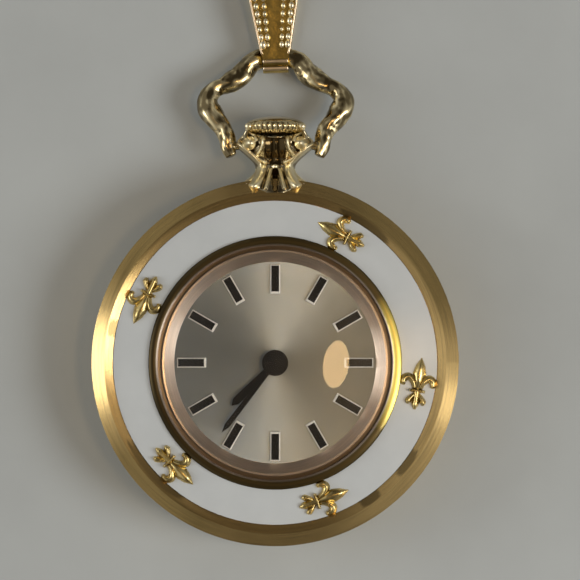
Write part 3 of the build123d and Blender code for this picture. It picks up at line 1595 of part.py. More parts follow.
# Bow: a bent tube with an eye and a pin at each end
bow_right = scaled(bow_line_shares, bow_half_width, bow_reach)
bow_points = bow_right + [(-x, reach) for x, reach in bow_right[::-1]]
line = Spline(*[(x, reach, 0) for x, reach in bow_points])
rings = []
for station in range(bow_stations + 1):
    share = station / bow_stations
    place = (1 - abs(2 * share - 1)) * (len(bow_radius_shares) - 1)
    before = min(int(place), len(bow_radius_shares) - 2)
    near, far = bow_radius_shares[before], bow_radius_shares[before + 1]
    radius = bow_radius * (near + (far - near) * (place - before))
    rings.append(Plane(origin=line @ share, x_dir=(0, 0, 1), z_dir=line % share) * Circle(radius))
bow = loft(rings, ruled=True)
eye_middle = (bow_end_outer_x + bow_end_inner_x) / 2
bow_end = Pos(eye_middle, 0, 0) * Rot(0, 90, 0) * Cylinder(bow_end_radius, bow_end_width)
pin_middle = (bow_end_outer_x + bow_pin_inner_x) / 2
pin = Rot(0, 90, 0) * Cylinder(bow_pin_radius, bow_end_outer_x - bow_pin_inner_x)
bow += mirrored(bow_end + Pos(pin_middle, 0, 0) * pin)
bow_tilt = asin((stem_level - low_outer) / bow_reach)
save("bow", Pos(0, pivot_y, stem_level) * Rot(-degrees(bow_tilt), 0, 0) * bow)

# Bail: two leaves of one strap, from a small fold round the bow to a wider fold for a chain
fold_distance = bail_length - low_outer - top_outer
fold_rise = top_outer - low_outer
slope = atan2(fold_rise, fold_distance)


def strap(inset):
    """The block inside the bail's side outline, pulled in all round by an inset."""
    low = low_outer - inset
    top = top_outer - inset

    def low_point(bearing):
        return (0, low * cos(bearing), low * sin(bearing))

    def top_point(bearing):
        return (0, fold_distance + top * cos(bearing), fold_rise + top * sin(bearing))

    down = -pi / 2
    up = pi / 2 + 2 * slope
    edges = [
        Line(low_point(down), top_point(down)),
        ThreePointArc(top_point(down), top_point(slope), top_point(up)),
        Line(top_point(up), low_point(up)),
        ThreePointArc(low_point(up), low_point(pi + slope), low_point(down)),
    ]
    return extrude(make_face(edges), amount=bail_length, dir=(1, 0, 0), both=True)


bail_right = scaled(bail_outline_shares, bail_half_width, bail_length)
bail_corners = bail_right + [(-half, reach) for half, reach in bail_right[::-1]]
bail = strap(0) - strap(strap_thickness)
bail &= prism(bail_corners, -bail_length, bail_length)
groove_corners = [(half * bail_groove_share, reach) for half, reach in bail_corners]
groove = (strap(0) - strap(bail_groove_depth)) & prism(groove_corners, -bail_length, bail_length)
groove &= block(
    (-bail_length, bail_groove_start, -bail_length), (bail_length, bail_groove_end, bail_length)
)
bow_top_y = pivot_y + bow_reach * cos(bow_tilt)
save("bail", Pos(0, bow_top_y, low_outer) * Rot(0, 0, bail_lean) * (bail - groove))
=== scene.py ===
# The looks of the pendant watch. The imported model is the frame, in metres, with +Z out of the
# dial and +Y to twelve o'clock. The shapes below are written in millimetres, and MM turns them
# into metres. Lengths inside the materials are in metres where MM isn't named.
import json
from math import cos, pi, radians, sin, sqrt

import bpy
import numpy as np
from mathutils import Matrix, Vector, noise


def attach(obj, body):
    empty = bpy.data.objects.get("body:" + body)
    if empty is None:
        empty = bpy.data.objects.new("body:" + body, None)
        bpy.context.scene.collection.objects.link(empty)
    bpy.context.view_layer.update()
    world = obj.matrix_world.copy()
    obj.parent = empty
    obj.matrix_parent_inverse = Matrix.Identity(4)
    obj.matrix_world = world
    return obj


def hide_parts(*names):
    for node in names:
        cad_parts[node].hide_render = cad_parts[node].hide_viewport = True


MM = 0.001

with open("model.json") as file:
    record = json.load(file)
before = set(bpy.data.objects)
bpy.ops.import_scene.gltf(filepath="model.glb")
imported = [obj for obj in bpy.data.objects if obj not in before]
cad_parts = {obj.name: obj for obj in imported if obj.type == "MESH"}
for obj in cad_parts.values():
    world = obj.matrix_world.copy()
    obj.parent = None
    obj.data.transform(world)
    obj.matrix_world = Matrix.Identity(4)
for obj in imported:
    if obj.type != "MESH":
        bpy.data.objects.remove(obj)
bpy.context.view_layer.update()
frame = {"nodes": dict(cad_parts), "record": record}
nodes = frame["nodes"]


# Node trees

def tree(name):
    """A new material, its node tree and its Principled shader."""
    material = bpy.data.materials.new(name)
    material.use_nodes = True
    return material, material.node_tree, material.node_tree.nodes["Principled BSDF"]


def node(nt, kind, **settings):
    """A node with its settings."""
    made = nt.nodes.new("ShaderNode" + kind)
    for key, value in settings.items():
        setattr(made, key, value)
    return made


def fixed(shader, **values):
    """Inputs that are the same all over a surface, named with _ for a space."""
    for key, value in values.items():
        shader.inputs[key.replace("_", " ")].default_value = value


def calc(nt, operation, a, b=None):
    """A Math node's result, from sockets or numbers."""
    made = node(nt, "Math", operation=operation)
    for i, value in enumerate((a, b)):
        if value is None:
            continue
        if isinstance(value, (int, float)):
            made.inputs[i].default_value = value
        else:
            nt.links.new(value, made.inputs[i])
    return made.outputs[0]


def ramp(nt, factor, *stops):
    """A Color Ramp between (place, colour) stops."""
    made = node(nt, "ValToRGB")
    elements = made.color_ramp.elements
    while len(elements) < len(stops):
        elements.new(0.5)
    for element, (place, colour) in zip(elements, stops):
        element.position = place
        element.color = (*colour, 1)
    nt.links.new(factor, made.inputs[0])
    return made.outputs[0]


def mix(nt, share, first, second, blend_type="MIX"):
    """Two colours mixed. The second is a socket or a colour, the share a socket or a number."""
    made = node(nt, "Mix", data_type="RGBA", blend_type=blend_type)
    share_in, first_in, second_in = made.inputs[0], made.inputs[6], made.inputs[7]
    if isinstance(share, (int, float)):
        share_in.default_value = share
    else:
        nt.links.new(share, share_in)
    nt.links.new(first, first_in)
    if isinstance(second, tuple):
        second_in.default_value = (*second, 1)
    else:
        nt.links.new(second, second_in)
    return made.outputs[2]


def spread(nt, factor, low, high, start=0.0, end=1.0):
    """A factor from start to end turned into a range, and held at the range's ends."""
    made = node(nt, "MapRange")
    made.inputs["From Min"].default_value = start
    made.inputs["From Max"].default_value = end
    made.inputs["To Min"].default_value = low
    made.inputs["To Max"].default_value = high
    nt.links.new(factor, made.inputs["Value"])
    return made.outputs["Result"]


def object_point(nt):
    return node(nt, "TexCoord").outputs["Object"]


def noise_of(nt, vector, scale, detail=3.0):
    made = node(nt, "TexNoise")
    made.inputs["Scale"].default_value = scale
    made.inputs["Detail"].default_value = detail
    made.inputs["Roughness"].default_value = 0.55
    nt.links.new(vector, made.inputs["Vector"])
    return made.outputs["Fac"]


def axes_of(nt, vector):
    """The x and y of a vector."""
    parts = node(nt, "SeparateXYZ")
    nt.links.new(vector, parts.inputs[0])
    return parts.outputs[0], parts.outputs[1]


def polar(nt):
    """The distance from the watch's axis, and x and y as shares of it."""
    x, y = axes_of(nt, object_point(nt))
    squares = calc(nt, "ADD", calc(nt, "MULTIPLY", x, x), calc(nt, "MULTIPLY", y, y))
    radius = calc(nt, "SQRT", squares)
    return radius, calc(nt, "DIVIDE", x, radius), calc(nt, "DIVIDE", y, radius)


def brushing(nt, across, along, detail):
    """Streaks round the axis or out from it, as fine as across along a radius, in a metre,
    and as fine as along round the axis.
    """
    radius, right, up = polar(nt)
    joined = node(nt, "CombineXYZ")
    nt.links.new(calc(nt, "MULTIPLY", radius, across), joined.inputs[0])
    nt.links.new(calc(nt, "MULTIPLY", right, along), joined.inputs[1])
    nt.links.new(calc(nt, "MULTIPLY", up, along), joined.inputs[2])
    return noise_of(nt, joined.outputs[0], 1.0, detail)


def drawn_out(nt, shader, amount, turn=0.0):
    """Highlights as brushing gives them. A quarter turn is for brushing round the axis."""
    fixed(shader, Anisotropic=amount, Anisotropic_Rotation=turn)
    tangent = node(nt, "Tangent", direction_type="RADIAL", axis="Z")
    nt.links.new(tangent.outputs[0], shader.inputs["Tangent"])


def bump(nt, shader, height, distance):
    made = node(nt, "Bump")
    made.inputs["Strength"].default_value = 1.0
    made.inputs["Distance"].default_value = distance
    nt.links.new(height, made.inputs["Height"])
    nt.links.new(made.outputs[0], shader.inputs["Normal"])


def shade(colour, share):
    return tuple(c * share for c in colour)


# Materials

GOLD = (0.66, 0.46, 0.19)
CHAMPAGNE = (0.66, 0.53, 0.29)
DEEP_GOLD = (0.76, 0.54, 0.15)
PINK_GOLD = (0.79, 0.64, 0.52)
NICKEL = (0.68, 0.66, 0.62)
STEEL = (0.55, 0.56, 0.58)
BRASS = (0.78, 0.58, 0.25)
QUARTER_TURN = 0.25


def metal(
    name, colour, rough=0.2, grain=1500, depth=2e-6, tone=0.82, brush=None, patch=260, edge=0.15
):
    """A metal with stains and either fine grain or brushing round the axis.

    The stains have tone's share of the colour, patch is their scale, and edge is how soft they
    are. depth is the grain's height in metres, and brush the two scales of the brushing.
    """
    material, nt, shader = tree(name)
    fixed(shader, Metallic=1)
    point = object_point(nt)
    stains_and_painted_reflections = noise_of(nt, point, patch)
    colours = ramp(nt, stains_and_painted_reflections, (0.5 - edge, shade(colour, tone)), (0.5 + edge, colour))
    nt.links.new(colours, shader.inputs["Base Color"])
    streaks = brushing(nt, *brush, 2.0) if brush else noise_of(nt, point, grain)
    nt.links.new(spread(nt, streaks, rough * 0.75, rough * 1.3), shader.inputs["Roughness"])
    bump(nt, shader, streaks, depth)
    return material


def chased(name, low, high, rough, reach=0.6):
    """Carved gold, from low in its hollows to high where the piece's relief comes to reach."""
    material, nt, shader = tree(name)
    fixed(shader, Metallic=1)
    relief = node(nt, "Attribute", attribute_name="relief").outputs["Fac"]
    grain = noise_of(nt, object_point(nt), 2500)
    wear = calc(nt, "MULTIPLY", calc(nt, "SUBTRACT", grain, 0.5), 0.25)
    level = calc(nt, "ADD", relief, wear)
    nt.links.new(ramp(nt, level, (0.1, low), (reach, high)), shader.inputs["Base Color"])
    nt.links.new(spread(nt, level, rough * 0.7, rough * 1.6), shader.inputs["Roughness"])
    bump(nt, shader, grain, 5e-6)
    return material


def plastic(name, low, high, rough, scale, coat=0.0, gloss=0.5):
    """A glossy or dull non-metal with a faint mottle between two colours."""
    material, nt, shader = tree(name)
    mottle = noise_of(nt, object_point(nt), scale)
    nt.links.new(ramp(nt, mottle, (0.35, low), (0.65, high)), shader.inputs["Base Color"])
    nt.links.new(spread(nt, mottle, rough * 0.8, rough * 1.2), shader.inputs["Roughness"])
    fixed(shader, Specular_IOR_Level=gloss, Coat_Weight=coat, Coat_Roughness=0.04)
    bump(nt, shader, mottle, 1e-6)
    return material


ROUND_BRUSH = (60000.0, 6.0)
# Radii in millimetres between which the bezel's materials change
COLLAR_WALL = (9.2, 9.075)
COLLAR_TO_RIM = (10.5, 11.5)
RIM_EDGE = (13.25, 12.85)
# Bearing and half width, in degrees, of the painted dark reflections along the rim's inner edge
RIM_PAINTED_REFLECTIONS = ((57, 13), (222, 17), (-37, 7), (-55, 5), (168, 4))
# The same for the places where its outer edge has painted shade
RIM_PAINTED_SHADE = ((42, 34), (133, 26), (228, 26))


def nearness(nt, right, up, places):
    """How near a bearing is to the nearest place: 1 at its middle, 0 at its half width."""
    most = 0.0
    for degrees, half in places:
        towards = calc(
            nt,
            "ADD",
            calc(nt, "MULTIPLY", right, cos(radians(degrees))),
            calc(nt, "MULTIPLY", up, sin(radians(degrees))),
        )
        width = 1 - cos(radians(half))
        near = calc(nt, "DIVIDE", calc(nt, "SUBTRACT", towards, 1 - width), width)
        most = calc(nt, "MAXIMUM", near, most)
    return most


def rim_material():
    """The bezel: brushed round on the rim, polished on the collar, with painted shade and
    highlights.
    """
    material, nt, shader = tree("rim_gold")
    fixed(shader, Metallic=1)
    drawn_out(nt, shader, 0.7, QUARTER_TURN)
    radius, right, up = polar(nt)
    streaks = brushing(nt, *ROUND_BRUSH, 3.0)
    bands = brushing(nt, 9000.0, 3.0, 2.0)

    def between(radii):
        return spread(nt, radius, 0.0, 1.0, radii[0] * MM, radii[1] * MM)

    rim, inner, wall = between(COLLAR_TO_RIM), between(RIM_EDGE), between(COLLAR_WALL)
    brushed = calc(nt, "MULTIPLY", spread(nt, streaks, 0.2, 0.3), rim)
    polished = calc(nt, "MULTIPLY", spread(nt, right, 0.36, 0.42), calc(nt, "SUBTRACT", 1.0, rim))
    nt.links.new(calc(nt, "ADD", brushed, polished), shader.inputs["Roughness"])

    outer = calc(nt, "SUBTRACT", 1.0, inner)
    # The dull share darkens sectors of the rim's outer edge: painted shade.
    dull = calc(nt, "MULTIPLY", nearness(nt, right, up, RIM_PAINTED_SHADE), outer)
    banded = ramp(nt, bands, (0.3, shade(GOLD, 0.74)), (0.55, GOLD))
    painted_shade = ramp(nt, dull, (0.0, (1, 1, 1)), (0.6, (0.6, 0.6, 0.56)))
    rim_colours = mix(nt, 1, banded, painted_shade, "MULTIPLY")
    # The dark patches along the rim's inner edge are painted dark reflections.
    stains_and_painted_reflections = calc(nt, "MULTIPLY", nearness(nt, right, up, RIM_PAINTED_REFLECTIONS), inner)
    ragged = calc(nt, "ADD", stains_and_painted_reflections, calc(nt, "SUBTRACT", bands, 0.5))
    painted_reflection_share = ramp(nt, ragged, (0.3, (0, 0, 0)), (0.55, (1, 1, 1)))
    rim_colours = mix(nt, painted_reflection_share, rim_colours, shade(GOLD, 0.42))

    # Painted light on the collar: painted shade, dark brown, on its left, top and bottom, and a
    # painted bright gold highlight at its far right.
    rightward = calc(nt, "ADD", calc(nt, "MULTIPLY", right, 0.5), 0.5)
    collar_with_painted_light = ramp(
        nt,
        rightward,
        (0.05, (0.05, 0.037, 0.018)),
        (0.35, (0.15, 0.11, 0.048)),
        (0.92, (0.16, 0.118, 0.05)),
        (0.975, (0.97, 0.78, 0.2)),
    )
    collar_with_painted_light = mix(nt, wall, collar_with_painted_light, shade(PINK_GOLD, 0.6))
    colours = mix(nt, rim, collar_with_painted_light, rim_colours)
    nt.links.new(colours, shader.inputs["Base Color"])
    bump(nt, shader, calc(nt, "MULTIPLY", streaks, rim), 4e-6)
    return material


def ring_material():
    """The ring under the crystal: turned pink gold, bright to the left and the right."""
    material, nt, shader = tree("turned_pink_gold")
    fixed(shader, Metallic=1)
    drawn_out(nt, shader, 0.75, QUARTER_TURN)
    turned = brushing(nt, 30000.0, 2.0, 1.0)
    colours = ramp(nt, turned, (0.3, shade(PINK_GOLD, 0.8)), (0.7, PINK_GOLD))
    nt.links.new(colours, shader.inputs["Base Color"])
    nt.links.new(spread(nt, turned, 0.26, 0.34), shader.inputs["Roughness"])
    return material


def dial_material():
    """Silvered brass brushed out from the middle, so that the light falls in two fans.
    Its tone goes from a cool, darker left to a warm, brighter right, which is painted light.
    """
    material, nt, shader = tree("dial_sunburst")
    fixed(shader, Metallic=1)
    drawn_out(nt, shader, 0.66)
    rays = brushing(nt, 300.0, 90.0, 4.0)
    fine_rays = brushing(nt, 500.0, 400.0, 2.0)
    nt.links.new(spread(nt, rays, 0.4, 0.54), shader.inputs["Roughness"])
    blotch = noise_of(nt, object_point(nt), 160)
    silver = ramp(nt, blotch, (0.3, (0.23, 0.245, 0.25)), (0.7, (0.29, 0.305, 0.31)))
    # Painted light: darker and cooler to the left, brighter and warmer to the right.
    x, _ = axes_of(nt, object_point(nt))
    rightward = calc(nt, "ADD", calc(nt, "MULTIPLY", x, 60.0), 0.5)
    painted_light_tone = ramp(nt, rightward, (0.35, (0.78, 0.82, 0.86)), (0.8, (1.3, 1.2, 1.02)))
    nt.links.new(mix(nt, 1, silver, painted_light_tone, "MULTIPLY"), shader.inputs["Base Color"])
    bump(nt, shader, calc(nt, "ADD", rays, fine_rays), 2e-6)
    return material


def crystal_material():
    """Clear acrylic with a faint haze, which lets the lamps through to the dial."""
    material, nt, shader = tree("acrylic")
    fixed(shader, Transmission_Weight=1, IOR=1.49, Coat_Weight=0.08, Coat_Roughness=0.3)
    scuffs = noise_of(nt, object_point(nt), 900)
    nt.links.new(spread(nt, scuffs, 0.0, 0.03), shader.inputs["Roughness"])
    colours = ramp(nt, scuffs, (0.3, (0.96, 0.97, 0.96)), (0.7, (1, 1, 1)))
    nt.links.new(colours, shader.inputs["Base Color"])
    shadow = node(nt, "LightPath").outputs["Is Shadow Ray"]
    both = node(nt, "MixShader")
    nt.links.new(shadow, both.inputs[0])
    nt.links.new(shader.outputs[0], both.inputs[1])
    nt.links.new(node(nt, "BsdfTransparent").outputs[0], both.inputs[2])
    nt.links.new(both.outputs[0], nt.nodes["Material Output"].inputs["Surface"])
    return material


LACQUER = ((0.001, 0.001, 0.001), (0.004, 0.003, 0.003))
LOOKS = {
    "yellow_gold_brushed": metal("case_gold", GOLD, 0.24, depth=3e-6, brush=ROUND_BRUSH),
    "rose_gold": metal("chased_gold", CHAMPAGNE, 0.15, 2500, 3e-6, 0.75),
    "yellow_gold_polished": metal(
        "bail_gold", DEEP_GOLD, 0.2, 750, 4e-5, 0.62, patch=700, edge=0.16
    ),
    "white_enamel": plastic(
        "enamel", (0.6, 0.635, 0.65), (0.635, 0.67, 0.685), 0.14, 300, coat=0.4
    ),
    "acrylic_crystal": crystal_material(),
    "pink_gold_ring": ring_material(),
    "dial_silver": dial_material(),
    "marker_silver": plastic(
        "marker_silver", (0.5, 0.49, 0.46), (0.62, 0.61, 0.58), 0.3, 900
    ),
    "black_lacquer": plastic("lacquer", *LACQUER, 0.3, 800, gloss=0.15),
    "nickel_plated_brass": metal("nickel", NICKEL, 0.28, brush=(9000.0, 200.0)),
    "brass": metal("gilt_brass", BRASS, 0.22),
    "steel": metal("steel", STEEL, 0.2),
    "balance_alloy": metal("balance_gilt", (0.80, 0.64, 0.33), 0.15),
    "blued_steel": metal("blued", (0.08, 0.12, 0.35), 0.2),
    "ruby": plastic("ruby", (0.5, 0.015, 0.06), (0.66, 0.03, 0.1), 0.05, 900, coat=0.5),
}
for part in frame["record"]["subparts"]:
    piece = nodes[part["node"]]
    piece.data.materials.clear()
    piece.data.materials.append(LOOKS[part["material_slot"]])
nodes["bezel"].data.materials[0] = rim_material()


# Mesh helpers, in millimetres

def add(name, data):
    """A new object in the scene."""
    made = bpy.data.objects.new(name, data)
    bpy.context.scene.collection.objects.link(made)
    return made


def make(
    name, points, faces, body, slot, stands_for=(), smooth=True, look=None, relief=None
):
    """A new piece from points in millimetres. The relief is a height for each point, 0 to 1."""
    mesh = bpy.data.meshes.new(name)
    mesh.from_pydata([tuple(c * MM for c in p) for p in points], [], faces)
    mesh.update()
    mesh.polygons.foreach_set("use_smooth", [smooth] * len(mesh.polygons))
    mesh.materials.append(look or LOOKS[slot])
    if relief:
        mesh.attributes.new("relief", "FLOAT", "POINT").data.foreach_set("value", relief)
    piece = add(name, mesh)
    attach(piece, body)
    if stands_for:
        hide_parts(*stands_for)


def held(value, low=0, high=1):
    """A value kept between two limits."""
    return min(high, max(low, value))


def turns(count):
    """Evenly spaced angles of a whole turn."""
    return [2 * pi * side / count for side in range(count)]


def rings_to_faces(ring_count, side_count, start=0):
    """Quads between rings of points, with the two ends capped."""
    faces = []
    for ring in range(ring_count - 1):
        for side in range(side_count):
            a = start + ring * side_count + side
            b = start + ring * side_count + (side + 1) % side_count
            faces.append((a, b, b + side_count, a + side_count))
    faces.append(tuple(start + side for side in range(side_count))[::-1])
    last = start + (ring_count - 1) * side_count
    faces.append(tuple(last + side for side in range(side_count)))
    return faces


def through(points, steps):
    """A smooth line through points, in as many steps for each span."""
    points = [np.array(p, float) for p in points]
    padded = [2 * points[0] - points[1]] + points + [2 * points[-1] - points[-2]]
    line = []
    for i in range(len(points) - 1):
        a, b, c, d = padded[i : i + 4]
        for step in range(steps):
            t = step / steps
            curve = 2 * b + (c - a) * t + (2 * a - 5 * b + 4 * c - d) * t * t
            line.append(0.5 * curve + 0.5 * (3 * b - a - 3 * c + d) * t**3)
    line.append(points[-1])
    return line


def soften(piece, width, segments=2):
    """A rounded edge on a CAD piece."""
    made = piece.modifiers.new("soft_edges", "BEVEL")
    made.width = width * MM
    made.segments = segments
    made.limit_method = "ANGLE"
    made.angle_limit = radians(35)


# Crown: a lens with rounded ribs all round

STEM_LEVEL = 2.9
RIBS = 30
POINTS_PER_RIB = 12
RIB_DEPTH = 0.1
# Radius and y of the crown's profile. The ribs start outside the first radius, reach their
# depth over the next length, and end below the last y over the length that follows it.
CROWN_PROFILE = [
    (0.5, 17.5), (1.0, 17.51), (1.5, 17.58), (1.9, 17.74), (2.18, 17.98), (2.32, 18.22),
    (2.33, 18.4), (2.22, 18.58), (2.0, 18.74), (1.65, 18.88), (1.25, 18.98), (0.75, 19.06),
    (0.2, 19.1),
]
RIBS_FROM, RIBS_GROW = 0.9, 0.8
RIBS_TO, RIBS_FADE = 18.7, 0.4

profile = through(CROWN_PROFILE, 4)
sides = RIBS * POINTS_PER_RIB
points = []
for radius, y in profile:
    depth = RIB_DEPTH * held((radius - RIBS_FROM) / RIBS_GROW) * held((RIBS_TO - y) / RIBS_FADE)
    for turn in turns(sides):
        ridge = abs(cos(RIBS * turn / 2)) ** 0.7
        reach = radius - depth * (1 - ridge)
        points.append((reach * cos(turn), y, STEM_LEVEL + reach * sin(turn)))
faces = rings_to_faces(len(profile), sides)
make("crown_ribbed", points, faces, "crown", "rose_gold", ["crown"])


# Pendant neck: swelling sections, carved on both faces with scrolls, leaves and flutes

# Each stroke of the carving is a line, its half width and its height, or its depth below zero
NECK_STROKES = [
    # the band down the edge, and the leaf on which it ends
    ([(3.0, 17.0), (2.4, 16.5), (1.75, 15.95), (1.2, 15.4), (1.06, 14.85)], 0.24, 0.4),
    ([(1.06, 14.95), (1.2, 14.45), (1.42, 14.0), (1.7, 13.62)], 0.5, 0.5),
    ([(1.6, 14.8), (1.95, 14.3), (2.3, 13.95)], 0.34, 0.32),
    # the scroll and the ball in it
    ([(2.95, 17.0), (2.7, 17.5), (2.1, 17.8), (1.6, 17.6), (1.42, 17.2)], 0.17, 0.32),
    ([(2.03, 16.98), (2.02, 16.97)], 0.68, 0.66),
    # the curved stems beside the middle, and their bud
    ([(0.96, 17.4), (0.98, 16.9), (1.08, 16.5), (1.35, 16.15)], 0.2, 0.4),
    ([(1.94, 16.28), (1.35, 15.8), (0.9, 15.56)], 0.16, 0.28),
    ([(0.76, 15.5), (0.75, 15.49)], 0.27, 0.44),
    # the lower flute and the knob over it
    ([(0.34, 14.95), (0.5, 14.3), (0.72, 13.5)], 0.2, 0.34),
    ([(0, 15.2), (0.01, 15.19)], 0.3, 0.2),
    # cuts: round the ball, in the upper middle, and between the flutes
    (
        [(2.55, 17.0), (2.3, 16.45), (1.75, 16.4), (1.38, 16.85), (1.55, 17.35), (2.1, 17.55)],
        0.15,
        -0.2,
    ),
    ([(0.2, 17.1), (0.2, 15.9)], 0.75, -0.3),
    ([(0, 14.8), (0, 13.4)], 0.3, -0.3),
    ([(0.72, 14.9), (0.82, 14.2), (1.0, 13.5)], 0.14, -0.25),
    ([(1.5, 14.9), (1.6, 14.3), (1.95, 13.6)], 0.12, -0.2),
]
# y, half width and front depth of the neck's sections, from the foot in the case upwards
NECK_ROWS = [
    (13.1, 1.3, 3.0), (13.3, 1.8, 2.9), (13.6, 2.4, 2.7), (13.85, 2.55, 2.45),
    (14.1, 2.3, 2.2), (14.4, 1.95, 1.86), (14.7, 1.66, 1.5), (15.0, 1.55, 1.26),
    (15.3, 1.6, 1.2), (15.7, 1.92, 1.35), (16.1, 2.37, 1.6), (16.5, 2.82, 1.85),
    (16.85, 3.08, 2.0), (17.2, 2.95, 2.05), (17.5, 2.68, 2.0), (17.75, 2.4, 1.9),
    (17.9, 2.25, 1.84),
]
NECK_SIDES = 300
FOOT_TOP = 14.2
FOOT_BACK = 1.1
# Shares of the top section, and how far below it, for the rings that close the neck
NECK_LID = ((0.93, 0.0), (0.86, 0.1), (0.6, 0.2), (0.3, 0.22))
LID_BACK = 1.8
# The hollow in the neck's top edge, in which the crown lies
BITE_DEPTH, BITE_HALF, BITE_FROM, BITE_GROW = 0.45, 2.15, 16.6, 1.2
# x, y, height over the stem and radius along one of the four horns, with its ball at the end
HORN = [
    (2.3, 17.2, 0.95, 0.2), (2.28, 17.6, 1.15, 0.22), (2.16, 17.9, 1.34, 0.17),
    (2.1, 18.05, 1.42, 0.2), (2.06, 18.18, 1.46, 0.27), (2.06, 18.3, 1.46, 0.29),
    (2.06, 18.43, 1.45, 0.25), (2.06, 18.52, 1.44, 0.1),
]
HORN_SIDES = 20
HORN_BALL_FROM = 18


def carving(x, y):
    """The height of the neck's carving at a place."""
    raised = 0.0
    cut = 0.0
    for line, half_width, height in NECK_STROKES:
        nearest = float("inf")
        for (ax, ay), (bx, by) in zip(line, line[1:]):
            dx, dy = bx - ax, by - ay
            t = held(((x - ax) * dx + (y - ay) * dy) / (dx * dx + dy * dy))
            nearest = min(nearest, sqrt((x - ax - t * dx) ** 2 + (y - ay - t * dy) ** 2))
        if nearest < half_width:
            shape = 0.5 + 0.5 * cos(pi * nearest / half_width)
            if height > 0:
                raised = max(raised, shape**0.8 * height)
            else:
                cut = max(cut, -shape * height)
    return raised - cut * max(0, 1 - raised / 0.12)


def neck_ring(points, relief, y, half, deep_front, deep_back, drop=None):
    """One section of the neck, carved unless it is a ring of the lid, which has a drop."""
    # A low swell is a box with round corners, a high one a lens
    swell = np.interp(y, (13.8, 14.9), (0.32, 1.25))
    for turn in turns(NECK_SIDES):
        x, front = half * cos(turn), sin(turn) > 0
        bite = BITE_DEPTH * max(0, 1 - (x / BITE_HALF) ** 2)
        bite *= held((y - BITE_FROM) / BITE_GROW) ** 2
        level = y - bite - (drop or 0.0)
        height = carving(abs(x), level) if drop is None else 0.1
        face = min(1, abs(sin(turn)) / 0.3)
        deep = deep_front if front else deep_back
        rise = (deep * abs(sin(turn)) ** swell + height * face) * (1 if front else -1)
        points.append((x, level, STEM_LEVEL + rise))
        relief.append(held((height + 0.06) / 0.3))


points, relief = [], []
rows = through(NECK_ROWS, 10)
for y, half, deep in rows:
    neck_ring(points, relief, y, half, deep, 0.8 * half if y > FOOT_TOP else FOOT_BACK)
top, top_half, top_deep = NECK_ROWS[-1]
for share, drop in NECK_LID:
    neck_ring(points, relief, top, top_half * share, top_deep * share, LID_BACK * share, drop)
faces = rings_to_faces(len(rows) + len(NECK_LID), NECK_SIDES)
horn = through(HORN, 3)
for mirror in (-1, 1):
    for facing in (-1, 1):
        faces += rings_to_faces(len(horn), HORN_SIDES, len(points))
        for x, y, rise, radius in horn:
            for turn in turns(HORN_SIDES):
                z = STEM_LEVEL + facing * (rise + radius * sin(turn))
                points.append((mirror * (x + radius * cos(turn)), y, z))
                relief.append(0.3 if y < HORN_BALL_FROM else 1.0)
make(
    "neck_chased",
    points,
    faces,
    "case",
    "rose_gold",
    ["pendant_neck"],
    look=chased("neck_gold", (0.1, 0.068, 0.03), (0.94, 0.83, 0.55), 0.22),
    relief=relief,
)


# Bow: a bent twig with knots, on the solid's own centre line

PIVOT_Y = 16.8
BOW_TILT = radians(13.755)
# The centre line of the bow's right half, from its pin to its top, about the pivot
BOW_LINE = [
    (3.4, -0.8), (3.62, -0.3), (3.72, 0.2), (3.76, 0.65), (4.0, 1.35), (4.6, 2.1),
    (5.15, 2.95), (5.24, 3.8), (4.75, 4.55), (3.85, 5.0), (2.98, 5.46), (2.5, 6.0),
    (1.9, 6.7), (1.2, 7.07), (0.95, 7.12),
]
# Evenly spaced radii along that line. The plain bar in the bail keeps the last of them.
BOW_RADII = [
    0.42, 0.6, 0.7, 0.78, 0.86, 0.93, 0.86, 0.74, 0.68, 0.84, 0.88, 0.86, 0.8, 0.76,
]
BAR_Y = 7.14
BAR_XS = (0.7, 0.35, 0.0)
BOW_SIDES = 48
# The share of the line over which the fine bark ends, and the length of its fading
BARK_TO, BARK_FADE = 0.97, 0.1
# x and radius of the pins in the neck
BOW_PIN = [(2.55, 0.3), (3.0, 0.32), (3.1, 0.4), (3.5, 0.5), (3.9, 0.4)]

half_line = through(BOW_LINE, 10)
whole = half_line + [np.array((x, BAR_Y)) for x in BAR_XS]
whole += [p * (-1, 1) for p in whole[-2::-1]]
lengths = np.cumsum([0] + [np.linalg.norm(b - a) for a, b in zip(whole, whole[1:])])
half_length = lengths[len(half_line) - 1]
points, relief = [], []
for i, spot in enumerate(whole):
    ahead = whole[min(i + 1, len(whole) - 1)] - whole[max(i - 1, 0)]
    ahead = ahead / np.linalg.norm(ahead)
    across = np.array((ahead[1], -ahead[0]))
    share = min(1, min(lengths[i], lengths[-1] - lengths[i]) / half_length)
    radius = np.interp(share * (len(BOW_RADII) - 1), range(len(BOW_RADII)), BOW_RADII)
    twig = 1 if share < 1 else 0
    for turn in turns(BOW_SIDES):
        lobes = 0.5 + 0.5 * cos(3 * turn + 2.4 * lengths[i])
        knots = 0.5 + 0.5 * cos(2 * turn - 1.7 * lengths[i] + 1.2)
        bark = noise.noise(Vector((cos(turn) * 1.6, sin(turn) * 1.6, lengths[i] * 1.1)))
        fine = noise.noise(Vector((cos(turn) * 3.1, sin(turn) * 3.1, lengths[i] * 2.6 + 7)))
        bark += 0.55 * fine * held((BARK_TO - share) / BARK_FADE)
        reach = radius * (1.04 - twig * (0.11 * (1 - lobes) + 0.07 * (1 - knots) - 0.07 * bark))
        flat = spot + across * reach * cos(turn)
        rise = reach * sin(turn)
        relief.append(held(0.62 + 1.7 * bark - 0.5 * (1 - lobes)))
        y = flat[1] * cos(BOW_TILT) + rise * sin(BOW_TILT)
        z = -flat[1] * sin(BOW_TILT) + rise * cos(BOW_TILT)
        points.append((flat[0], PIVOT_Y + y, STEM_LEVEL + z))
faces = rings_to_faces(len(whole), BOW_SIDES)
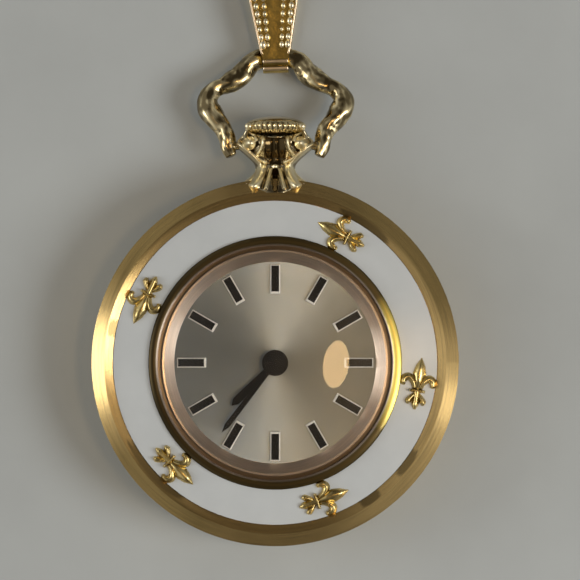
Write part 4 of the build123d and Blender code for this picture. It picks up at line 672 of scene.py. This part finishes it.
for mirror in (-1, 1):
    faces += rings_to_faces(len(BOW_PIN), BOW_SIDES, len(points))
    for x, radius in BOW_PIN:
        for turn in turns(BOW_SIDES):
            y, z = radius * cos(mirror * turn), radius * sin(mirror * turn)
            points.append((mirror * x, PIVOT_Y + y, STEM_LEVEL + z))
            relief.append(0.1)
make(
    "bow_twig",
    points,
    faces,
    "bow",
    "rose_gold",
    ["bow"],
    look=chased("bow_gold", (0.23, 0.178, 0.092), (0.82, 0.69, 0.41), 0.18, 1.0),
    relief=relief,
)


# Bail: rails and beads on the front leaf, and bands round the lower fold

BAIL_Y = 23.744962
BAIL_Z = 1.2
FOLD_RADIUS = 1.2
LEAF_RISE = 1.2065
FRONT_SLOPE = 0.10407
LEAN = radians(1.9)
# Reach up the bail from the fold's axis, and half width there
BAIL_OUTLINE = (
    (-1.6, 0.99), (-0.1, 0.99), (0.55, 1.2), (4.25, 1.87), (5.6, 2.05), (7.0, 2.0), (8.6, 1.7)
)
# Place of each column of beads, as a share of the half width, and its height over the leaf
BEAD_COLUMNS = ((0.76, 0.0), (0.42, -0.08))
BEADS_FROM, BEADS_TO, BEAD_STEP = 0.95, 6.4, 0.6
# Half width, half length and height of a bead
BEAD_SIZE = (0.19, 0.26, 0.21)
BEAD_RINGS, BEAD_SIDES = 7, 12
RAIL_SIDES = 10
# Reach and half width of the two bands
BANDS = ((-0.33, 0.14), (-0.86, 0.17))


def bail_half(reach):
    return np.interp(reach, [p[0] for p in BAIL_OUTLINE], [p[1] for p in BAIL_OUTLINE])


def on_bail(x, reach, height):
    """A place over the bail's front leaf, in the watch's own frame."""
    z = BAIL_Z + LEAF_RISE + FRONT_SLOPE * reach + height
    x_here = x * cos(LEAN) - reach * sin(LEAN)
    return (x_here, BAIL_Y + x * sin(LEAN) + reach * cos(LEAN), z)


points, faces = [], []
for column, deep in BEAD_COLUMNS:
    for mirror in (-1, 1):
        reach = BEADS_FROM
        while reach < BEADS_TO:
            uneven = noise.noise(Vector((reach * 3.1, column * 7, mirror * 2.3)))
            half, length, tall = ((1.1 + 0.5 * uneven) * size for size in BEAD_SIZE)
            x = mirror * column * bail_half(reach) + 0.05 * uneven
            faces += rings_to_faces(BEAD_RINGS, BEAD_SIDES, len(points))
            for ring in range(BEAD_RINGS):
                bearing = pi / 2 * ring / (BEAD_RINGS - 1)
                height = deep - 0.02 + tall * sin(bearing)
                for turn in turns(BEAD_SIDES):
                    beside = x + half * cos(bearing) * cos(turn)
                    beyond = reach + length * cos(bearing) * sin(turn)
                    points.append(on_bail(beside, beyond, height))
            reach += BEAD_STEP
bead_gold = metal("bead_gold", (0.95, 0.84, 0.58), 0.3, 1800, 4e-6, 0.7)
make("bail_beads", points, faces, "bail", "yellow_gold_polished", look=bead_gold)

points, faces = [], []
for mirror in (-1, 1):
    reaches = [0.2 + 0.2 * i for i in range(33)]
    faces += rings_to_faces(len(reaches), RAIL_SIDES, len(points))
    for reach in reaches:
        x = mirror * (bail_half(reach) - 0.09)
        for turn in turns(RAIL_SIDES):
            points.append(on_bail(x + 0.085 * cos(turn), reach, 0.02 + 0.075 * sin(turn)))
for reach, half in BANDS:
    shares = [i / 10 for i in range(-10, 11)]
    faces += rings_to_faces(len(shares), RAIL_SIDES, len(points))
    drop = sqrt(FOLD_RADIUS**2 - reach**2) - LEAF_RISE - FRONT_SLOPE * reach
    for share in shares:
        for turn in turns(RAIL_SIDES):
            beyond = reach + half * cos(turn)
            points.append(on_bail(share * 0.97, beyond, drop + 0.1 * sin(turn)))
rail_gold = metal("rail_gold", (0.9, 0.72, 0.5), 0.34, 1800, 2e-6)
make("bail_rails", points, faces, "bail", "yellow_gold_polished", look=rail_gold)


# Fleur-de-lis ornaments: domed petals, a band and a splayed foot on the enamel

FLEUR_ANGLES = (62.7, 154.1, 225.6, 289.6, 351.5)
FLEUR_LENGTH = 4.1
FLEUR_RADIUS = 11.12
# The enamel's inner and outer radius, its height at the first and its fall to the second
ENAMEL_FROM, ENAMEL_TO, ENAMEL_TOP, ENAMEL_FALL = 9.72, 12.48, 5.95, 0.4
PETAL_ARC = 9
# Lines of (along, across) shares of the fleur's length, half widths along them, and height
FLEUR_PETALS = (
    ([(-0.1, 0), (0.1, 0), (0.3, 0), (0.5, 0)], [0.05, 0.1, 0.13, 0.09, 0.004], 0.42),
    ([(-0.48, 0), (-0.38, 0), (-0.24, 0), (-0.1, 0)], [0.02, 0.075, 0.07, 0.07], 0.4),
)
FLEUR_PAIRS = (
    (
        [(-0.08, 0.05), (0.04, 0.1), (0.12, 0.19), (0.08, 0.27), (0.0, 0.28), (-0.03, 0.24)],
        [0.045, 0.06, 0.075, 0.075, 0.06, 0.02],
        0.36,
    ),
    ([(-0.2, 0.04), (-0.26, 0.1), (-0.33, 0.14), (-0.39, 0.15)], [0.04, 0.05, 0.065, 0.025], 0.36),
)
FLEUR_BAND = ([(-0.13, -0.15), (-0.12, 0), (-0.13, 0.15)], [0.03, 0.042, 0.03], 0.46)


def on_enamel(angle, along, across, rise):
    """A place on the enamel, from shares of the length of the fleur at an angle."""
    x, y = FLEUR_RADIUS - across * FLEUR_LENGTH, along * FLEUR_LENGTH
    radius = sqrt(x * x + y * y)
    z = ENAMEL_TOP - ENAMEL_FALL * (radius - ENAMEL_FROM) / (ENAMEL_TO - ENAMEL_FROM)
    turn = radians(angle)
    return (x * cos(turn) - y * sin(turn), x * sin(turn) + y * cos(turn), z + rise)


def petal(points, faces, angle, line, widths, height):
    """A domed leaf along a line, closed below."""
    spots = through(line, 8)
    half = np.interp(np.linspace(0, 1, len(spots)), np.linspace(0, 1, len(widths)), widths)
    faces.extend(rings_to_faces(len(spots), PETAL_ARC + 2, len(points)))
    for i, spot in enumerate(spots):
        ahead = spots[min(i + 1, len(spots) - 1)] - spots[max(i - 1, 0)]
        ahead = ahead / (np.linalg.norm(ahead) or 1)
        across = np.array((-ahead[1], ahead[0])) * half[i]
        thick = height * min(1, half[i] / max(widths) * 1.25)
        for step in range(PETAL_ARC):
            s = -cos(pi * step / (PETAL_ARC - 1))
            points.append(on_enamel(angle, *(spot + across * s), thick * (1 - abs(s) ** 1.7)))
        for s in (0.9, -0.9):
            points.append(on_enamel(angle, *(spot + across * s), -0.12))


points, faces = [], []
for angle in FLEUR_ANGLES:
    for line, widths, height in FLEUR_PETALS:
        petal(points, faces, angle, line, widths, height)
    for mirror in (-1, 1):
        for line, widths, height in FLEUR_PAIRS:
            mirrored = [(along, mirror * across) for along, across in line]
            petal(points, faces, angle, mirrored, widths, height)
    petal(points, faces, angle, *FLEUR_BAND)
fleur_gold = metal("fleur_gold", (0.74, 0.57, 0.24), 0.26, 1500, 6e-6, 0.6, patch=900)
make(
    "fleur_petals",
    points,
    faces,
    "case",
    "yellow_gold_polished",
    ["fleur_ornaments"],
    look=fleur_gold,
)


# Hour markers: a bevelled silver frame round each dark bar

DIAL_TOP = 5.0
# Half width, inner and outer radius, and height over the dial of each rectangle, in order
MARKER_FRAME = (
    (0.38, 5.25, 7.49, 0.0), (0.37, 5.26, 7.48, 0.1), (0.34, 5.3, 7.45, 0.19),
    (0.3, 5.42, 7.42, 0.2), (0.295, 5.42, 7.42, 0.1),
)
MARKER_BAR = (
    (0.29, 5.425, 7.415, 0.02), (0.29, 5.425, 7.415, 0.15), (0.26, 5.455, 7.385, 0.19)
)


def stepped(rectangles):
    """Nested rectangles at each of the twelve hours, as points and faces."""
    points, faces = [], []
    for hour in range(12):
        turn = radians(30 * hour)
        faces += rings_to_faces(len(rectangles), 4, len(points))
        for half, near, far, height in rectangles:
            for across, along in ((-half, near), (half, near), (half, far), (-half, far)):
                x = across * cos(turn) + along * sin(turn)
                y = along * cos(turn) - across * sin(turn)
                points.append((x, y, DIAL_TOP + height))
    return points, faces


make(
    "marker_frames", *stepped(MARKER_FRAME), "case", "marker_silver", ["hour_markers"], smooth=False
)
make(
    "marker_bars", *stepped(MARKER_BAR), "case", "black_lacquer", ["marker_inlays"], smooth=False
)

# Edges of the CAD pieces that show
soften(nodes["bezel"], 0.05, 3)
soften(nodes["enamel_ring"], 0.06, 3)
soften(nodes["crystal"], 0.08, 3)
soften(nodes["case_middle"], 0.04, 3)
for name in ("hour_hand", "minute_hand", "crystal_ring", "dial"):
    soften(nodes[name], 0.03)
soften(nodes["bail"], 0.06)


# Floor, lamps, sky and camera

def floor_material():
    material, nt, shader = tree("floor")
    cloud = noise_of(nt, object_point(nt), 60, 5.0)
    colours = ramp(nt, cloud, (0.3, (0.45, 0.48, 0.485)), (0.7, (0.505, 0.54, 0.545)))
    nt.links.new(colours, shader.inputs["Base Color"])
    fixed(shader, Roughness=0.7)
    bump(nt, shader, noise_of(nt, object_point(nt), 1200, 4.0), 1e-5)
    return material


FLOOR_REACH = 1.5
mesh = bpy.data.meshes.new("floor")
corners = [(x * FLOOR_REACH, y * FLOOR_REACH, 0) for x, y in ((-1, -1), (1, -1), (1, 1), (-1, 1))]
mesh.from_pydata(corners, [], [(0, 1, 2, 3)])
mesh.materials.append(floor_material())
floor = add("floor", mesh)

# The point at which the lamps aim
WATCH_MIDDLE = Vector((0, 0.006, 0.003))


def lamp(name, place, size, power, colour, tall=None):
    """An elliptical lamp. Place and sizes are in metres, the power in watts."""
    data = bpy.data.lights.new(name, "AREA")
    data.shape = "ELLIPSE"
    data.size = size
    data.size_y = tall or size
    data.energy = power
    data.color = colour
    made = add(name, data)
    made.location = place
    made.rotation_euler = (WATCH_MIDDLE - Vector(place)).to_track_quat("-Z", "Y").to_euler()


WHITE = (0.99, 0.99, 0.98)
lamp("key", (0.4, -0.1, 0.34), 0.26, 1.3, WHITE)
lamp("left", (-0.46, -0.006, 0.14), 0.26, 0.7, WHITE)
lamp("right", (0.455, -0.115, 0.11), 0.12, 0.06, (1.0, 0.97, 0.93))
# The amber spot on the crystal is this one's reflection
lamp("window", (0.132, -0.012, 0.48), 0.105, 0.185, (1.0, 0.65, 0.29), tall=0.058)

# The sky is pale to the left and right and dark over the watch, with a warm glow at the window
GLOW_TOWARDS = (0.3, -0.04, 0.953)
world = bpy.data.worlds.new("sky")
bpy.context.scene.world = world
world.use_nodes = True
nt = world.node_tree
direction = node(nt, "TexCoord").outputs["Generated"]
x, _ = axes_of(nt, direction)
sky = ramp(
    nt,
    calc(nt, "MULTIPLY", calc(nt, "ADD", x, 1.0), 0.5),
    (0.08, (0.52, 0.515, 0.5)),
    (0.24, (0.48, 0.475, 0.46)),
    (0.37, (0.11, 0.1, 0.085)),
    (0.63, (0.1, 0.09, 0.075)),
    (0.78, (0.33, 0.325, 0.31)),
    (0.94, (0.34, 0.33, 0.315)),
)
towards = node(nt, "VectorMath", operation="DOT_PRODUCT")
nt.links.new(direction, towards.inputs[0])
towards.inputs[1].default_value = GLOW_TOWARDS
glow = ramp(
    nt,
    towards.outputs["Value"],
    (0.94, (0, 0, 0)),
    (0.972, (0.07, 0.05, 0.03)),
    (0.992, (0.3, 0.2, 0.1)),
)
background = nt.nodes["Background"]
nt.links.new(mix(nt, 1, sky, glow, "ADD"), background.inputs["Color"])
background.inputs["Strength"].default_value = 1.0

# The photograph's frame in pixels, where the watch's axis is in it, and a pixel's size there
FRAME = 580
AXIS_AT = (275.2, 362.6)
PIXEL = 0.0772 * MM
# The level over the floor at which a pixel has that size, and the camera's distance from it
SCALE_LEVEL = 4.9 * MM
DISTANCE = 0.3
SENSOR = 36
data = bpy.data.cameras.new("camera")
data.sensor_width = SENSOR
data.lens = SENSOR * DISTANCE / (FRAME * PIXEL)
data.clip_start = 0.01
data.clip_end = 10
camera = add("camera", data)
beside, above = (FRAME / 2 - AXIS_AT[0]) * PIXEL, (AXIS_AT[1] - FRAME / 2) * PIXEL
camera.location = (beside, above, SCALE_LEVEL + DISTANCE)
bpy.context.scene.camera = camera
bpy.context.scene.view_settings.view_transform = "Standard"
